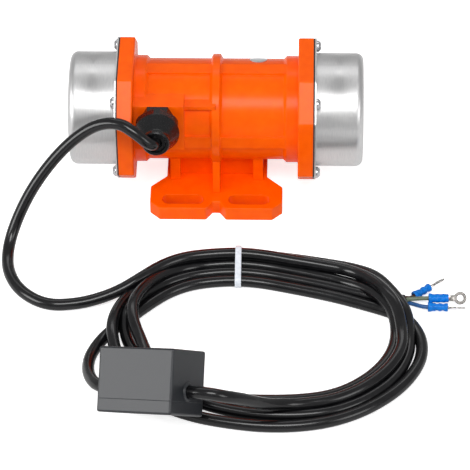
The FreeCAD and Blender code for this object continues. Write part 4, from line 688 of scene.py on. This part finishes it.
# %% Plastics and rubbers
cord_rubber = finish("cord_rubber", colour_of(0.003, 0.003, 0.0035), colour_of(0.007, 0.007, 0.008), 5.0, 0.19,
                     relief=0.02, spread=0.04, gloss=0.42)
motor_lead.data.materials.append(cord_rubber)
supply_lead.data.materials.append(cord_rubber)
dress(cord_rubber, "cord_inner_end", "motor_cord", "motor_cord_end", "supply_cord_start", "supply_cord_end",
      "cord_coil")

gland_nylon = finish("gland_nylon", colour_of(0.003, 0.003, 0.0035), colour_of(0.007, 0.007, 0.008), 1.5, 0.26,
                     relief=0.02, soften=0.5, gloss=0.42)
dress(gland_nylon, "gland_body", "gland_nut", "gland_seal")

box_plastic = finish("eroded_box_plastic", colour_of(0.008, 0.0092, 0.0115), colour_of(0.015, 0.0175, 0.022), 0.45,
                     0.38, relief=0.05, soften=0.5)
dress(box_plastic, "capacitor_box", "capacitor_box_lid", "box_grommets")

seal_rubber = finish("grey_seal_rubber", colour_of(0.16, 0.16, 0.165), colour_of(0.26, 0.26, 0.27), 1.0, 0.6,
                     relief=0.03)
dress(seal_rubber, "bearing_seals")

gasket_rubber = finish("gasket_rubber", colour_of(0.018, 0.018, 0.018), colour_of(0.045, 0.045, 0.045), 0.8, 0.65,
                       relief=0.04)
dress(gasket_rubber, "left_gasket", "right_gasket")

white_nylon = finish("tie_nylon", colour_of(0.66, 0.70, 0.76), colour_of(0.80, 0.83, 0.88), 2.0, 0.35, relief=0.02)
nylon_shader = white_nylon.node_tree.nodes["Principled BSDF"]
nylon_shader.inputs["Subsurface Weight"].default_value = 0.15
nylon_shader.inputs["Subsurface Radius"].default_value = (0.002, 0.002, 0.002)
dress(white_nylon, "cable_tie")
tie.data.materials.append(white_nylon)

cage_nylon = finish("ball_cage_nylon", colour_of(0.46, 0.40, 0.26), colour_of(0.58, 0.52, 0.36), 1.2, 0.45,
                    relief=0.02)
dress(cage_nylon, "left_ball_cage", "right_ball_cage")

# %% [markdown]
# ### Leads and sleeves
#
# The cores keep their trade colours: brown, blue and a green that is faded by its yellow stripe. The stripe could be
# painted on, but a lead is under 3 mm thick, and at this size it only turns the green greyer. The sleeves are bright
# vinyl.

# %% Lead colours
brown = finish("brown_lead_skin", colour_of(0.060, 0.026, 0.012), colour_of(0.095, 0.045, 0.022), 1.5, 0.38,
               relief=0.02)
green = finish("green_lead_skin", colour_of(0.12, 0.16, 0.10), colour_of(0.19, 0.23, 0.16), 1.5, 0.38, relief=0.02)
blue = finish("blue_lead_skin", colour_of(0.02, 0.10, 0.30), colour_of(0.04, 0.15, 0.42), 1.5, 0.38, relief=0.02)
dress(brown, "lead_brown", "lead_wires")
dress(green, "lead_green")
dress(blue, "lead_blue")

sleeve_vinyl = finish("blue_sleeve_vinyl", colour_of(0.0, 0.15, 0.60), colour_of(0.0, 0.22, 0.78), 2.0, 0.28,
                      relief=0.03, soften=0.3, gloss=0.25)
dress(sleeve_vinyl, "terminal_sleeves")
pieces["crimped_sleeves"].data.materials.append(sleeve_vinyl)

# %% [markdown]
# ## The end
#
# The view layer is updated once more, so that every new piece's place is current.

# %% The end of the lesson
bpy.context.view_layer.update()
